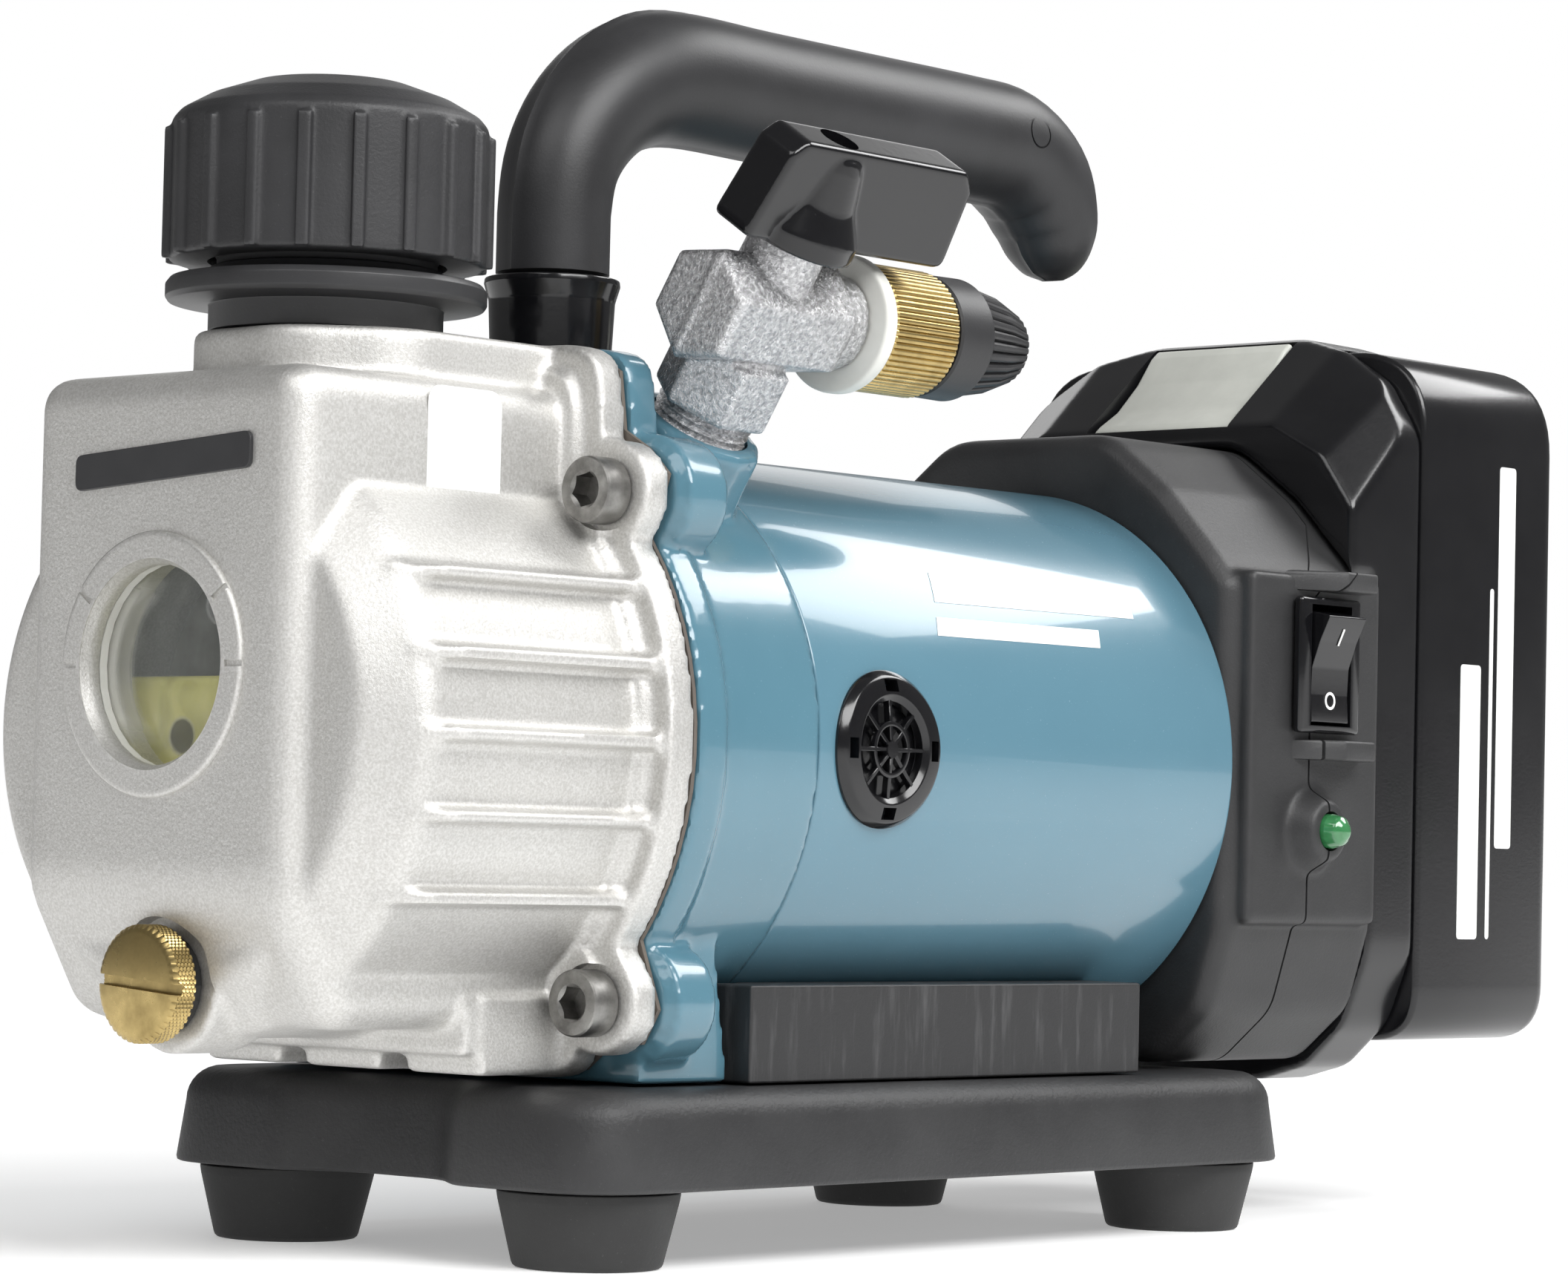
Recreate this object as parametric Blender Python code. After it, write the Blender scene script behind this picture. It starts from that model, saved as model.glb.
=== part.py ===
"""Cordless vacuum pump for air-conditioning work: a rotary-vane pump in an oil reservoir, driven by a
brush motor and an 18 V slide-on battery, on a rubber-footed base.

Run in Blender 4.5. Metres, +Z up, +X from the sight glass to the battery, -Y the switch side.
Every piece is laid out from the middle of the foot pattern, and the whole is then centred on its own box.
"""

from math import atan2, cos, hypot, pi, radians, sin, sqrt

import bmesh
import bpy
from mathutils import Matrix, Vector

# Clearances
GAP = 0.0003            # between faces that rest on each other
RUN = 0.0004            # radial, round a part that turns or a screw in its hole

MANIFOLD_PIECES = {"oil_reservoir", "pump_body", "intake_valve_body"}

# Feet and base
FOOT_X = 0.0612
FOOT_Y = 0.0277
FOOT_R = 0.00945
FOOT_R_TOP = 0.0119
FOOT_H = 0.0097
POD_R = 0.0136
BASE_T = 0.0127
BASE_EDGE = 0.0045
WAIST_X = 0.0690
WAIST_Y = (0.0165, 0.0085)
WAIST_R = 0.0080
CRADLE_X = (-0.0406, 0.0418)
CRADLE_Y = 0.0360
CRADLE_T = 0.0126

# Drive axis and motor
AXIS_Z = 0.0665
MOTOR_R = 0.0402
MOTOR_WALL = 0.0018
MOTOR_X = (-0.0332, 0.0572)
PLATE_T = 0.0040
BEARING_R = 0.0092
BEARING_T = 0.0050
SHAFT_R = 0.0040
MAGNET_X = (-0.0200, 0.0300)
MAGNET_T = 0.0068
CORE_X = (-0.0180, 0.0280)
CORE_AIR = 0.0010
WINDING_R = 0.0240
WINDING_L = 0.0060
COMMUTATOR_X = (0.0358, 0.0430)
COMMUTATOR_R = 0.0110
FAN_X = (0.0448, 0.0506)
FAN_AIR = 0.0054
FAN_R = MOTOR_R - MOTOR_WALL - FAN_AIR
FAN_BLADES = 6
VENT_X = -0.0197
VENT_R = 0.0105
VENT_STUB_R = 0.0086
VENT_T = 0.0013

# Pump body, flange and reservoir
FLANGE_X = -0.0600      # rear face of the reservoir's flange
GASKET_T = 0.0006
FLANGE_R = 0.0428
FLANGE_T = 0.0045
FLANGE_TOP = 0.0501     # above the drive axis
FLANGE_TOP_Y = 0.0296
FLANGE_LOW = 0.0430     # below the drive axis
FLANGE_LOW_Y = 0.0285
LOBE_R = 0.0066
SCREW_Y = 0.0312
SCREW_UP = 0.0310
SCREW_DOWN = 0.0332
SCREW_R = 0.0025
SCREW_HEAD_R = 0.00425
SCREW_HEAD_H = 0.0044
SCREW_KEY = 0.0040
SCREW_L = 0.0130
BODY_FLANGE_T = 0.0050
BODY_LOBE_T = 0.0088
BODY_R = (0.0423, 0.0406)
BODY_WALL = 0.0080
BODY_CAVITY_R = 0.0200
BRACKET_Y = 0.0330
BRACKET_REAR = -0.0414
RES_FRONT = -0.1118
RES_Y = 0.0245
RES_TOP = 0.1103
RES_LOW = 0.0298
RES_CHIN = (0.0458, 0.0090)     # height where the front leans back, and how far it leans
RES_WALL = 0.0036
RES_FACE = 0.0050
DRUM_X = (-0.1085, -0.1025)
DRUM_R = (0.0323, 0.0385)
DRUM_WALL = 0.0036
RIB_R = 0.0415
RIB_T = 0.0018
RIB_PITCH = 0.0100
RIB_COUNT = 5
PAD_X = -0.1015
PAD_Y = 0.0205
PAD_TOP = 0.1165

# Sight glass, drain plug, oil
SIGHT_Z = 0.0739
SIGHT_R = 0.0124
SIGHT_RIM_R = 0.0164
SIGHT_RIM_T = 0.0006
SIGHT_SEAT_R = 0.0142
SIGHT_SEAT_X = -0.1098
SIGHT_BOSS = 0.0040
GLASS_T = 0.0026
SEAL_T = 0.0012
PLUG_Z = 0.0348
PLUG_FACE = -0.1132
PLUG_R = 0.0073
PLUG_HEAD = 0.0038
PLUG_SHANK_R = 0.0040
PLUG_SHANK = 0.0090
PLUG_SLOT = (0.0012, 0.0012)
OIL_TOP = 0.0730
OIL_GAP = 0.0012

# Exhaust: neck, filter, cap
NECK_X = -0.0845
NECK_R = 0.0149
NECK_RING_R = 0.0204
NECK_RING_Z = (0.1203, 0.1236)
NECK_THREAD_R = 0.0140
NECK_TOP = 0.1380
NECK_STUB_R = 0.0117
NECK_STUB = 0.0085
NECK_BORE = 0.0095
FILTER_BORE = 0.0050
CAP_R = 0.0201
CAP_SKIRT_R = 0.0210
CAP_Z = (0.1258, 0.1448)
CAP_DOME = 0.0049
CAP_BORE = 0.0152
CAP_RIBS = 19

# Pump cartridge
STATOR_R = 0.0260
STATOR_L = 0.0240
STATOR_BORE = 0.0200
STATOR_OFFSET = 0.0032
COVER_T = 0.0040
ROTOR_R = 0.0164
VANE_T = 0.0018
VANE_ROOT = 0.0060
SUCTION_R = 0.0022
SUCTION_T = 0.0235

# Shaft seal and coupling
SEAL_R = 0.0090
COUPLING_X = (-0.0482, -0.0342)
COUPLING_R = 0.0120
COUPLING_WEB = 0.0020
DRIVE_SHAFT_FRONT = -0.0860

# Intake valve, laid out along its own axis from the drive axis
INTAKE_X = -0.0432
INTAKE_TILT = radians(33.0)
INLET_BOSS_R = 0.0092
INLET_BOSS_TOP = 0.0495
THREAD_R = 0.00655
THREAD_END = 0.0425
INLET_HEX = (0.0520, 0.0600)
INLET_AF = 0.0140
VALVE_T = 0.0663
VALVE_AF = 0.0138
VALVE_X = (-0.0110, 0.0153)
STEM_BOSS_R = 0.0052
STEM_BOSS_TOP = 0.0772
PORT_R = 0.0050
PORT_END = 0.0335
FLOW_R = 0.0024
BALL_R = 0.0052
STEM_R = 0.0018
STEM_TOP = 0.0866
LEVER_Z = (0.0775, 0.0915)
LEVER_T = 0.0070
LEVER_HUB_R = (0.0084, 0.0046)
LEVER_SCREW_R = 0.0024
LEVER_SCREW_T = 0.0022
WASHER_T = 0.0023
WASHER_R = 0.0092
KNURL_R = 0.0085
KNURL_L = 0.0138
PORT_CAP_L = 0.0200

# Handle
HANDLE_X = -0.0435
HANDLE_BOSS_R = 0.0100
HANDLE_BOSS_TOP = 0.1125
COLLAR_R = 0.00875
COLLAR_TOP = 0.1284
POST_R = 0.0076
POST_STUB_R = 0.0062
GRIP_R = 0.0092
GRIP_Z = 0.1582

# Rear housing and switch panel
HOUSING_REAR = 0.0950
HOUSING_TOP = 0.1155
HOUSING_LOW = 0.0236
HOUSING_Y = 0.0385
HOUSING_WALL = 0.0025
PART_LOW_X = 0.0745
PART_TOP_X = 0.0890
PANEL_X = (0.0600, 0.0925)
PANEL_Y = 0.0410
PANEL_Z = (0.0440, 0.0950)
SWITCH_X = 0.0770
SWITCH_Z = 0.0818
SWITCH_SIZE = (0.0150, 0.0198)
SWITCH_BODY = (0.0128, 0.0182)
SWITCH_RIM = 0.0016
SWITCH_DEPTH = 0.0110
ROCKER_SIZE = (0.0092, 0.0158)
ROCKER_REST = radians(11.0)
LED_X = 0.0750
LED_Z = 0.0577
LED_R = 0.0026
LED_BOSS = (0.0068, 0.0040, 0.0040)
LED_TIP = 0.0026
GUARD = (0.0200, 0.0024, 0.0030)
BLOCK_X = 0.0062
BLOCK_Y = 0.0160
BLOCK_Z = (0.0450, 0.1000)

# Battery
PACK_FRONT = 0.0956
PACK_SPLIT = 0.1080
PACK_REAR = 0.1460
PACK_Y = 0.0375
PACK_Z = (0.0264, 0.1316)
PACK_EDGE = 0.0060
PACK_WALL = 0.0025
RAIL_Y = 0.0362
LIP_Z = 0.0202
CHANNEL_Y = 0.0166
CHANNEL_DEPTH = 0.0068
DOME_TOP = 0.1343
DOME_X = (0.0900, 0.1090, 0.1235)
DOME_LOW = 0.1180
BUTTON_Y = 0.0130
BUTTON_T = 0.0026
BUTTON_TRAVEL = 0.0020


def look(name, color, roughness, metallic=0.0, alpha=1.0):
    material = bpy.data.materials.new(name)
    material.use_nodes = True
    shader = material.node_tree.nodes["Principled BSDF"]
    shader.inputs["Base Color"].default_value = (*color, 1.0)
    shader.inputs["Roughness"].default_value = roughness
    shader.inputs["Metallic"].default_value = metallic
    shader.inputs["Alpha"].default_value = alpha
    return material


def add(name, bm, material, parent=None, location=(0, 0, 0), rotation=(0, 0, 0)):
    mesh = bpy.data.meshes.new(name)
    bm.to_mesh(mesh)
    bm.free()
    mesh.shade_smooth()
    mesh.set_sharp_from_angle(angle=radians(35))
    obj = bpy.data.objects.new(name, mesh)
    bpy.context.collection.objects.link(obj)
    obj.parent = parent or FRAME
    obj.location = location
    obj.rotation_euler = rotation
    if material:
        mesh.materials.append(material)
    return obj


def shape(target, operation, bm, location=(0, 0, 0), rotation=(0, 0, 0), parent=None):
    """Add a Boolean to target, with bm as its hidden tool, placed in target's own parent by default.

    Pieces listed in MANIFOLD_PIECES have coaxial cuts that the exact solver leaves open.
    """
    tool = add(f"tool_{target.name}_{len(target.modifiers)}", bm, None,
               parent or target.parent, location, rotation)
    tool.hide_render = True
    tool.display_type = "WIRE"
    modifier = target.modifiers.new(tool.name, "BOOLEAN")
    modifier.operation = operation
    modifier.solver = "MANIFOLD" if target.name in MANIFOLD_PIECES else "EXACT"
    modifier.object = tool


def cut(target, bm, **place):
    shape(target, "DIFFERENCE", bm, **place)


def join(target, bm, **place):
    shape(target, "UNION", bm, **place)


def keep(target, bm, **place):
    shape(target, "INTERSECT", bm, **place)


def guide(name, location, rotation=(0, 0, 0), parent=None):
    empty = bpy.data.objects.new(name, None)
    bpy.context.collection.objects.link(empty)
    empty.parent = parent
    empty.location = location
    empty.rotation_euler = rotation
    return empty


def lathe(profile, segments=20, closed=False):
    """Turn (radius, height) points about Z. A closed profile makes a ring."""
    bm = bmesh.new()
    verts = [bm.verts.new((radius, 0, height)) for radius, height in profile]
    edges = [bm.edges.new(pair) for pair in zip(verts, verts[1:])]
    if closed:
        edges.append(bm.edges.new((verts[-1], verts[0])))
    bmesh.ops.spin(bm, geom=verts + edges, cent=(0, 0, 0), axis=(0, 0, 1), angle=2 * pi,
                   steps=segments, use_merge=True)
    bmesh.ops.remove_doubles(bm, verts=bm.verts, dist=1e-6)
    bmesh.ops.recalc_face_normals(bm, faces=bm.faces)
    return bm


def rod(radius, low, high, segments=16):
    return lathe([(0, low), (radius, low), (radius, high), (0, high)], segments)


def ring(outer, inner, low, high, segments=20):
    return lathe([(inner, low), (outer, low), (outer, high), (inner, high)], segments, closed=True)


def prism(outline, low, high, axis="Z"):
    """Extrude a closed outline. Its points are (x, y), (y, z) or (x, z) for the axes Z, X and Y."""
    turn = {"Z": lambda a, b, h: (a, b, h), "X": lambda a, b, h: (h, a, b), "Y": lambda a, b, h: (a, h, b)}
    bm = bmesh.new()
    face = bm.faces.new([bm.verts.new(turn[axis](a, b, low)) for a, b in outline])
    side = bmesh.ops.extrude_face_region(bm, geom=[face])["geom"]
    shift = Vector(turn[axis](0, 0, high - low))
    bmesh.ops.translate(bm, vec=shift, verts=[v for v in side if isinstance(v, bmesh.types.BMVert)])
    bmesh.ops.recalc_face_normals(bm, faces=bm.faces)
    return bm


def block(x, y, z):
    return prism([(x[0], y[0]), (x[1], y[0]), (x[1], y[1]), (x[0], y[1])], z[0], z[1])


def sphere(radius, segments=14):
    bm = bmesh.new()
    bmesh.ops.create_uvsphere(bm, u_segments=segments, v_segments=segments // 2, radius=radius)
    return bm


def sweep(path, segments):
    """A round bar along (x, z, radius) points in the plane of symmetry, closed at both ends."""
    bm = bmesh.new()
    loops = []
    for index, (x, z, radius) in enumerate(path):
        before = path[max(index - 1, 0)]
        after = path[min(index + 1, len(path) - 1)]
        turn = atan2(after[0] - before[0], after[1] - before[1])
        across = Vector((cos(turn), 0, -sin(turn)))
        centre = Vector((x, 0, z))
        loops.append([bm.verts.new(centre + radius * (cos(a) * across + sin(a) * Vector((0, 1, 0))))
                      for a in (2 * pi * step / segments for step in range(segments))])
    for low, high in zip(loops, loops[1:]):
        for step in range(segments):
            ahead = (step + 1) % segments
            bm.faces.new((low[step], low[ahead], high[ahead], high[step]))
    bm.faces.new(loops[0])
    bm.faces.new(loops[-1])
    bmesh.ops.recalc_face_normals(bm, faces=bm.faces)
    return bm


def moved(bm, offset):
    bmesh.ops.translate(bm, vec=Vector(offset), verts=bm.verts)
    return bm


def soften(bm, width, chosen, segments=2):
    """Round the edges that chosen(edge) picks."""
    edges = [edge for edge in bm.edges if chosen(edge)]
    bmesh.ops.bevel(bm, geom=edges, offset=width, offset_type="OFFSET", segments=segments,
                    profile=0.5, affect="EDGES", clamp_overlap=True, material=-1)
    return bm


def along(axis):
    return lambda edge: abs((edge.verts[1].co - edge.verts[0].co).normalized()[axis]) > 0.999


def at_height(axis, value):
    return lambda edge: all(abs(vert.co[axis] - value) < 1e-5 for vert in edge.verts)


def polygon(count, radius, turn=0.0):
    return [(radius * cos(turn + 2 * pi * i / count), radius * sin(turn + 2 * pi * i / count))
            for i in range(count)]


def hexagon(across_flats, turn=0.0):
    return polygon(6, across_flats / sqrt(3), turn)


def fillet(points, radii, steps=3):
    """Round the corners of a closed outline, each with its own radius."""
    outline = []
    for index, (corner, radius) in enumerate(zip(points, radii)):
        here = Vector(corner)
        if radius == 0:
            outline.append(tuple(here))
            continue
        back = (Vector(points[index - 1]) - here).normalized()
        ahead = (Vector(points[(index + 1) % len(points)]) - here).normalized()
        half = back.angle(ahead) / 2
        centre = here + (back + ahead).normalized() * radius / sin(half)
        start = here + back * radius * cos(half) / sin(half) - centre
        sweep = start.angle_signed(here + ahead * radius * cos(half) / sin(half) - centre)
        for step in range(steps + 1):
            angle = -sweep * step / steps
            outline.append((centre.x + start.x * cos(angle) - start.y * sin(angle),
                            centre.y + start.x * sin(angle) + start.y * cos(angle)))
    return outline


def rounded(half_a, half_b, radius, centre=(0, 0), steps=3):
    corners = [(-half_a, -half_b), (half_a, -half_b), (half_a, half_b), (-half_a, half_b)]
    return [(a + centre[0], b + centre[1]) for a, b in fillet(corners, [radius] * 4, steps)]


def mirrored(half):
    """A whole outline from the points of its +Y half, listed from top to bottom."""
    return half + [(-y, z) for y, z in reversed(half) if abs(y) > 1e-9]


def flange_outline(inset=0.0, steps=64):
    """The lobed joint face, as (y, height above the drive axis): a disc, four screw lobes and two blocks."""
    discs = [(side * SCREW_Y, height) for side in (-1, 1) for height in (SCREW_UP, -SCREW_DOWN)]
    outline = []
    for step in range(steps):
        angle = 2 * pi * (step + 0.5) / steps
        y, z = cos(angle), sin(angle)
        reach = [FLANGE_R - inset]
        for centre_y, centre_z in discs:
            near = y * centre_y + z * centre_z
            inside = (LOBE_R - inset) ** 2 - centre_y ** 2 - centre_z ** 2 + near ** 2
            if inside > 0 and near > 0:
                reach.append(near + sqrt(inside))
        half_y, half_z = (FLANGE_TOP_Y, FLANGE_TOP) if z > 0 else (FLANGE_LOW_Y, FLANGE_LOW)
        square = (abs(y) / (half_y - inset)) ** 14 + (abs(z) / (half_z - inset)) ** 14
        reach.append(square ** (-1 / 14))
        radius = max(reach)
        outline.append((radius * y, radius * z))
    return outline


def lift(outline, height):
    return [(a, b + height) for a, b in outline]


def body_front():
    return FLANGE_X + GAP + GASKET_T + GAP


def each_screw():
    for side in (-1, 1):
        for height in (SCREW_UP, -SCREW_DOWN):
            yield side * SCREW_Y, AXIS_Z + height


def make_feet(rubber):
    profile = [(0, 0), (FOOT_R - 0.001, 0), (FOOT_R, 0.001), (FOOT_R_TOP, FOOT_H), (0, FOOT_H)]
    for end, x in (("front", -FOOT_X), ("rear", FOOT_X)):
        for side, y in (("left", -FOOT_Y), ("right", FOOT_Y)):
            add(f"foot_{end}_{side}", lathe(profile, 16), rubber, location=(x, y, 0))


def make_base(plastic):
    """A solid plate, rounded over each foot and drawn in between the feet at both ends."""
    bottom = FOOT_H + GAP
    end = FOOT_X + POD_R
    side = FOOT_Y + POD_R
    quarter = [((end, side), POD_R), ((end, WAIST_Y[0]), WAIST_R), ((WAIST_X, WAIST_Y[1]), WAIST_R)]
    half = quarter + [((x, -y), radius) for (x, y), radius in reversed(quarter)]
    ends = half + [((-x, -y), radius) for (x, y), radius in half]
    outline = fillet([point for point, radius in ends], [radius for point, radius in ends], 4)
    bm = prism(outline, bottom, bottom + BASE_T)
    soften(bm, BASE_EDGE * 0.8, at_height(2, bottom + BASE_T))
    add("base_frame", bm, plastic)
    return bottom + BASE_T


def make_cradle(plastic, base_top):
    low = base_top + GAP
    edge = [(CRADLE_X[0], -CRADLE_Y), (CRADLE_X[1], -CRADLE_Y), (CRADLE_X[1], CRADLE_Y), (CRADLE_X[0], CRADLE_Y)]
    cradle = add("motor_cradle", prism(edge, low, low + CRADLE_T), plastic)
    cut(cradle, rod(MOTOR_R + GAP, CRADLE_X[0] - 0.01, CRADLE_X[1] + 0.01, 48), parent=AXLE)
    cut(cradle, rod((BODY_R[0] + BODY_R[1]) / 2 + GAP, CRADLE_X[0] - 0.01, MOTOR_X[0], 48), parent=AXLE)


def make_motor(teal, steel, zinc, magnet, copper, black):
    inner = MOTOR_R - MOTOR_WALL
    shell = add("motor_shell", ring(MOTOR_R, inner, *MOTOR_X, 48), teal, AXLE)
    cut(shell, rod(VENT_STUB_R + RUN, MOTOR_R - 0.02, MOTOR_R + 0.02), parent=VENT)
    seat = inner - GAP
    front = (MOTOR_X[0] + GAP, MOTOR_X[0] + GAP + PLATE_T)
    rear = (MOTOR_X[1] - GAP - PLATE_T, MOTOR_X[1] - GAP)
    for name, span in (("front", front), ("rear", rear)):
        add(f"motor_{name}_plate", ring(seat, BEARING_R + GAP, *span, 28), zinc, AXLE)
        start = span[0] if name == "front" else span[1] - BEARING_T
        add(f"{name}_bearing", ring(BEARING_R, SHAFT_R + RUN, start, start + BEARING_T), steel, AXLE)
    add("magnet_ring", ring(seat, seat - MAGNET_T, *MAGNET_X, 28), magnet, AXLE)
    core_r = seat - MAGNET_T - CORE_AIR
    web = (COUPLING_X[0] + COUPLING_X[1] + COUPLING_WEB) / 2
    profile = [(0, web + GAP), (SHAFT_R, web + GAP), (SHAFT_R, CORE_X[0] - WINDING_L),
               (WINDING_R, CORE_X[0] - WINDING_L), (WINDING_R, CORE_X[0]), (core_r, CORE_X[0]),
               (core_r, CORE_X[1]), (WINDING_R, CORE_X[1]), (WINDING_R, CORE_X[1] + WINDING_L),
               (SHAFT_R, CORE_X[1] + WINDING_L), (SHAFT_R, COMMUTATOR_X[0]), (COMMUTATOR_R, COMMUTATOR_X[0]),
               (COMMUTATOR_R, COMMUTATOR_X[1]), (SHAFT_R, COMMUTATOR_X[1]), (SHAFT_R, rear[1] + 0.002),
               (0, rear[1] + 0.002)]
    add("armature", lathe(profile, 18), copper, AXLE)
    make_fan(black)


def make_fan(black):
    """A disc with straight radial blades on a hub."""
    disc = FAN_X[0] + 0.0015
    fan = add("cooling_fan", rod(FAN_R, FAN_X[0], disc, 24), black, AXLE)
    blades = []
    for index in range(FAN_BLADES):
        middle = 2 * pi * index / FAN_BLADES
        for turn, radius in ((-0.10, 0.3), (-0.03, 0.97), (0.03, 0.97), (0.10, 0.3)):
            blades.append((radius * FAN_R * cos(middle + turn), radius * FAN_R * sin(middle + turn)))
    join(fan, prism(blades, disc - 0.0005, FAN_X[1]), parent=AXLE)
    cut(fan, rod(SHAFT_R + GAP, FAN_X[0] - 0.001, FAN_X[1] + 0.001), parent=AXLE)


def make_vent(black):
    """A round grille, bent to the motor's shell, with a stub in the shell's hole."""
    skin = ring(MOTOR_R + GAP + VENT_T, MOTOR_R + GAP, VENT_X - 0.02, VENT_X + 0.02, 48)
    grille = add("vent_grille", skin, black, AXLE)
    keep(grille, rod(VENT_R, MOTOR_R - 0.02, MOTOR_R + 0.02, 24), parent=VENT)
    join(grille, rod(VENT_STUB_R, MOTOR_R - MOTOR_WALL + GAP, MOTOR_R + GAP + VENT_T / 2), parent=VENT)
    for index in range(4):
        for low, high in ((0.0020, 0.0042), (0.0050, 0.0076)):
            slot = block((low, high), (-low * 0.65, low * 0.65), (MOTOR_R - 0.02, MOTOR_R + 0.02))
            bmesh.ops.rotate(slot, verts=slot.verts, cent=(0, 0, 0),
                             matrix=Matrix.Rotation(pi / 2 * index, 3, "Z"))
            cut(grille, slot, parent=VENT)


def make_pump_body(teal):
    front = body_front()
    rear = MOTOR_X[0] - GAP
    body = add("pump_body", prism(lift(flange_outline(), AXIS_Z), front, front + BODY_FLANGE_T, "X"), teal)
    barrel = lathe([(0, front + 0.001), (BODY_R[0], front + 0.001), (BODY_R[1], rear), (0, rear)], 48)
    join(body, barrel, parent=AXLE)
    for y, z in each_screw():
        lobe = moved(rod(LOBE_R - 0.0004, front + 0.001, front + BODY_LOBE_T, 14), (AXIS_Z - z, y, 0))
        join(body, lobe, parent=AXLE)
    low = FOOT_H + GAP + BASE_T + GAP
    bracket = [(front + 0.001, low), (BRACKET_REAR, low), (BRACKET_REAR - 0.0035, AXIS_Z - 0.022),
               (front + 0.001, AXIS_Z - 0.022)]
    join(body, prism(bracket, -BRACKET_Y, BRACKET_Y, "Y"))
    join(body, lathe([(0, 0.025), (INLET_BOSS_R, 0.025), (INLET_BOSS_R, INLET_BOSS_TOP - 0.001),
                      (INLET_BOSS_R - 0.001, INLET_BOSS_TOP), (0, INLET_BOSS_TOP)], 24), parent=INTAKE)
    join(body, rod(HANDLE_BOSS_R, AXIS_Z + 0.03, HANDLE_BOSS_TOP), location=(HANDLE_X, 0, 0))
    cut(body, rod(BODY_CAVITY_R, front + BODY_WALL, rear + 0.001), parent=AXLE)
    cut(body, rod(SEAL_R + GAP, front + BODY_WALL / 2, front + BODY_WALL + 0.001), parent=AXLE)
    cut(body, rod(SHAFT_R + RUN, front - 0.001, front + BODY_WALL), parent=AXLE)
    cut(body, rod(THREAD_R + RUN, THREAD_END - 0.001, INLET_BOSS_TOP + 0.001), parent=INTAKE)
    cut(body, rod(SUCTION_R, SUCTION_T - SUCTION_R, THREAD_END, 12), parent=INTAKE)
    channel = rod(SUCTION_R, front - INTAKE_X - 0.001, SUCTION_R, 12)
    cut(body, channel, location=(0, 0, SUCTION_T), rotation=(0, pi / 2, 0), parent=INTAKE)
    for y, z in each_screw():
        hole = rod(SCREW_R + RUN, front - 0.001, FLANGE_X - FLANGE_T + SCREW_L + GAP, 10)
        cut(body, moved(hole, (AXIS_Z - z, y, 0)), parent=AXLE)


def make_gasket(paper):
    low = FLANGE_X + GAP
    gasket = add("reservoir_gasket", prism(lift(flange_outline(0.0004), AXIS_Z), low, low + GASKET_T, "X"), paper)
    cut(gasket, rod(DRUM_R[1] - DRUM_WALL, low - 0.001, low + 0.002, 28), parent=AXLE)
    for y, z in each_screw():
        cut(gasket, moved(rod(SCREW_R + RUN, low - 0.001, low + 0.002, 10), (AXIS_Z - z, y, 0)), parent=AXLE)


def make_screws(steel):
    face = FLANGE_X - FLANGE_T - GAP
    head = face - SCREW_HEAD_H
    tip = face + SCREW_L
    profile = [(0, head), (SCREW_HEAD_R - 0.0004, head), (SCREW_HEAD_R, head + 0.0004), (SCREW_HEAD_R, face),
               (SCREW_R, face), (SCREW_R, tip), (0, tip)]
    for index, (y, z) in enumerate(each_screw(), 1):
        screw = add(f"cover_screw_{index}", lathe(profile, 12), steel, AXLE, (AXIS_Z - z, y, 0))
        socket = prism(hexagon(SCREW_KEY), head - 0.001, head + SCREW_HEAD_H / 2)
        cut(screw, socket, location=(AXIS_Z - z, y, 0))


def reservoir_side(inset, front, rear, low_shift):
    """The reservoir's side outline, as (x, z)."""
    chin, lean = RES_CHIN
    return [(front, RES_TOP - inset), (rear, RES_TOP - inset), (rear, RES_LOW + low_shift),
            (RES_FRONT + lean + inset * 0.6, RES_LOW + low_shift), (front, chin + inset * 0.8)]


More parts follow.
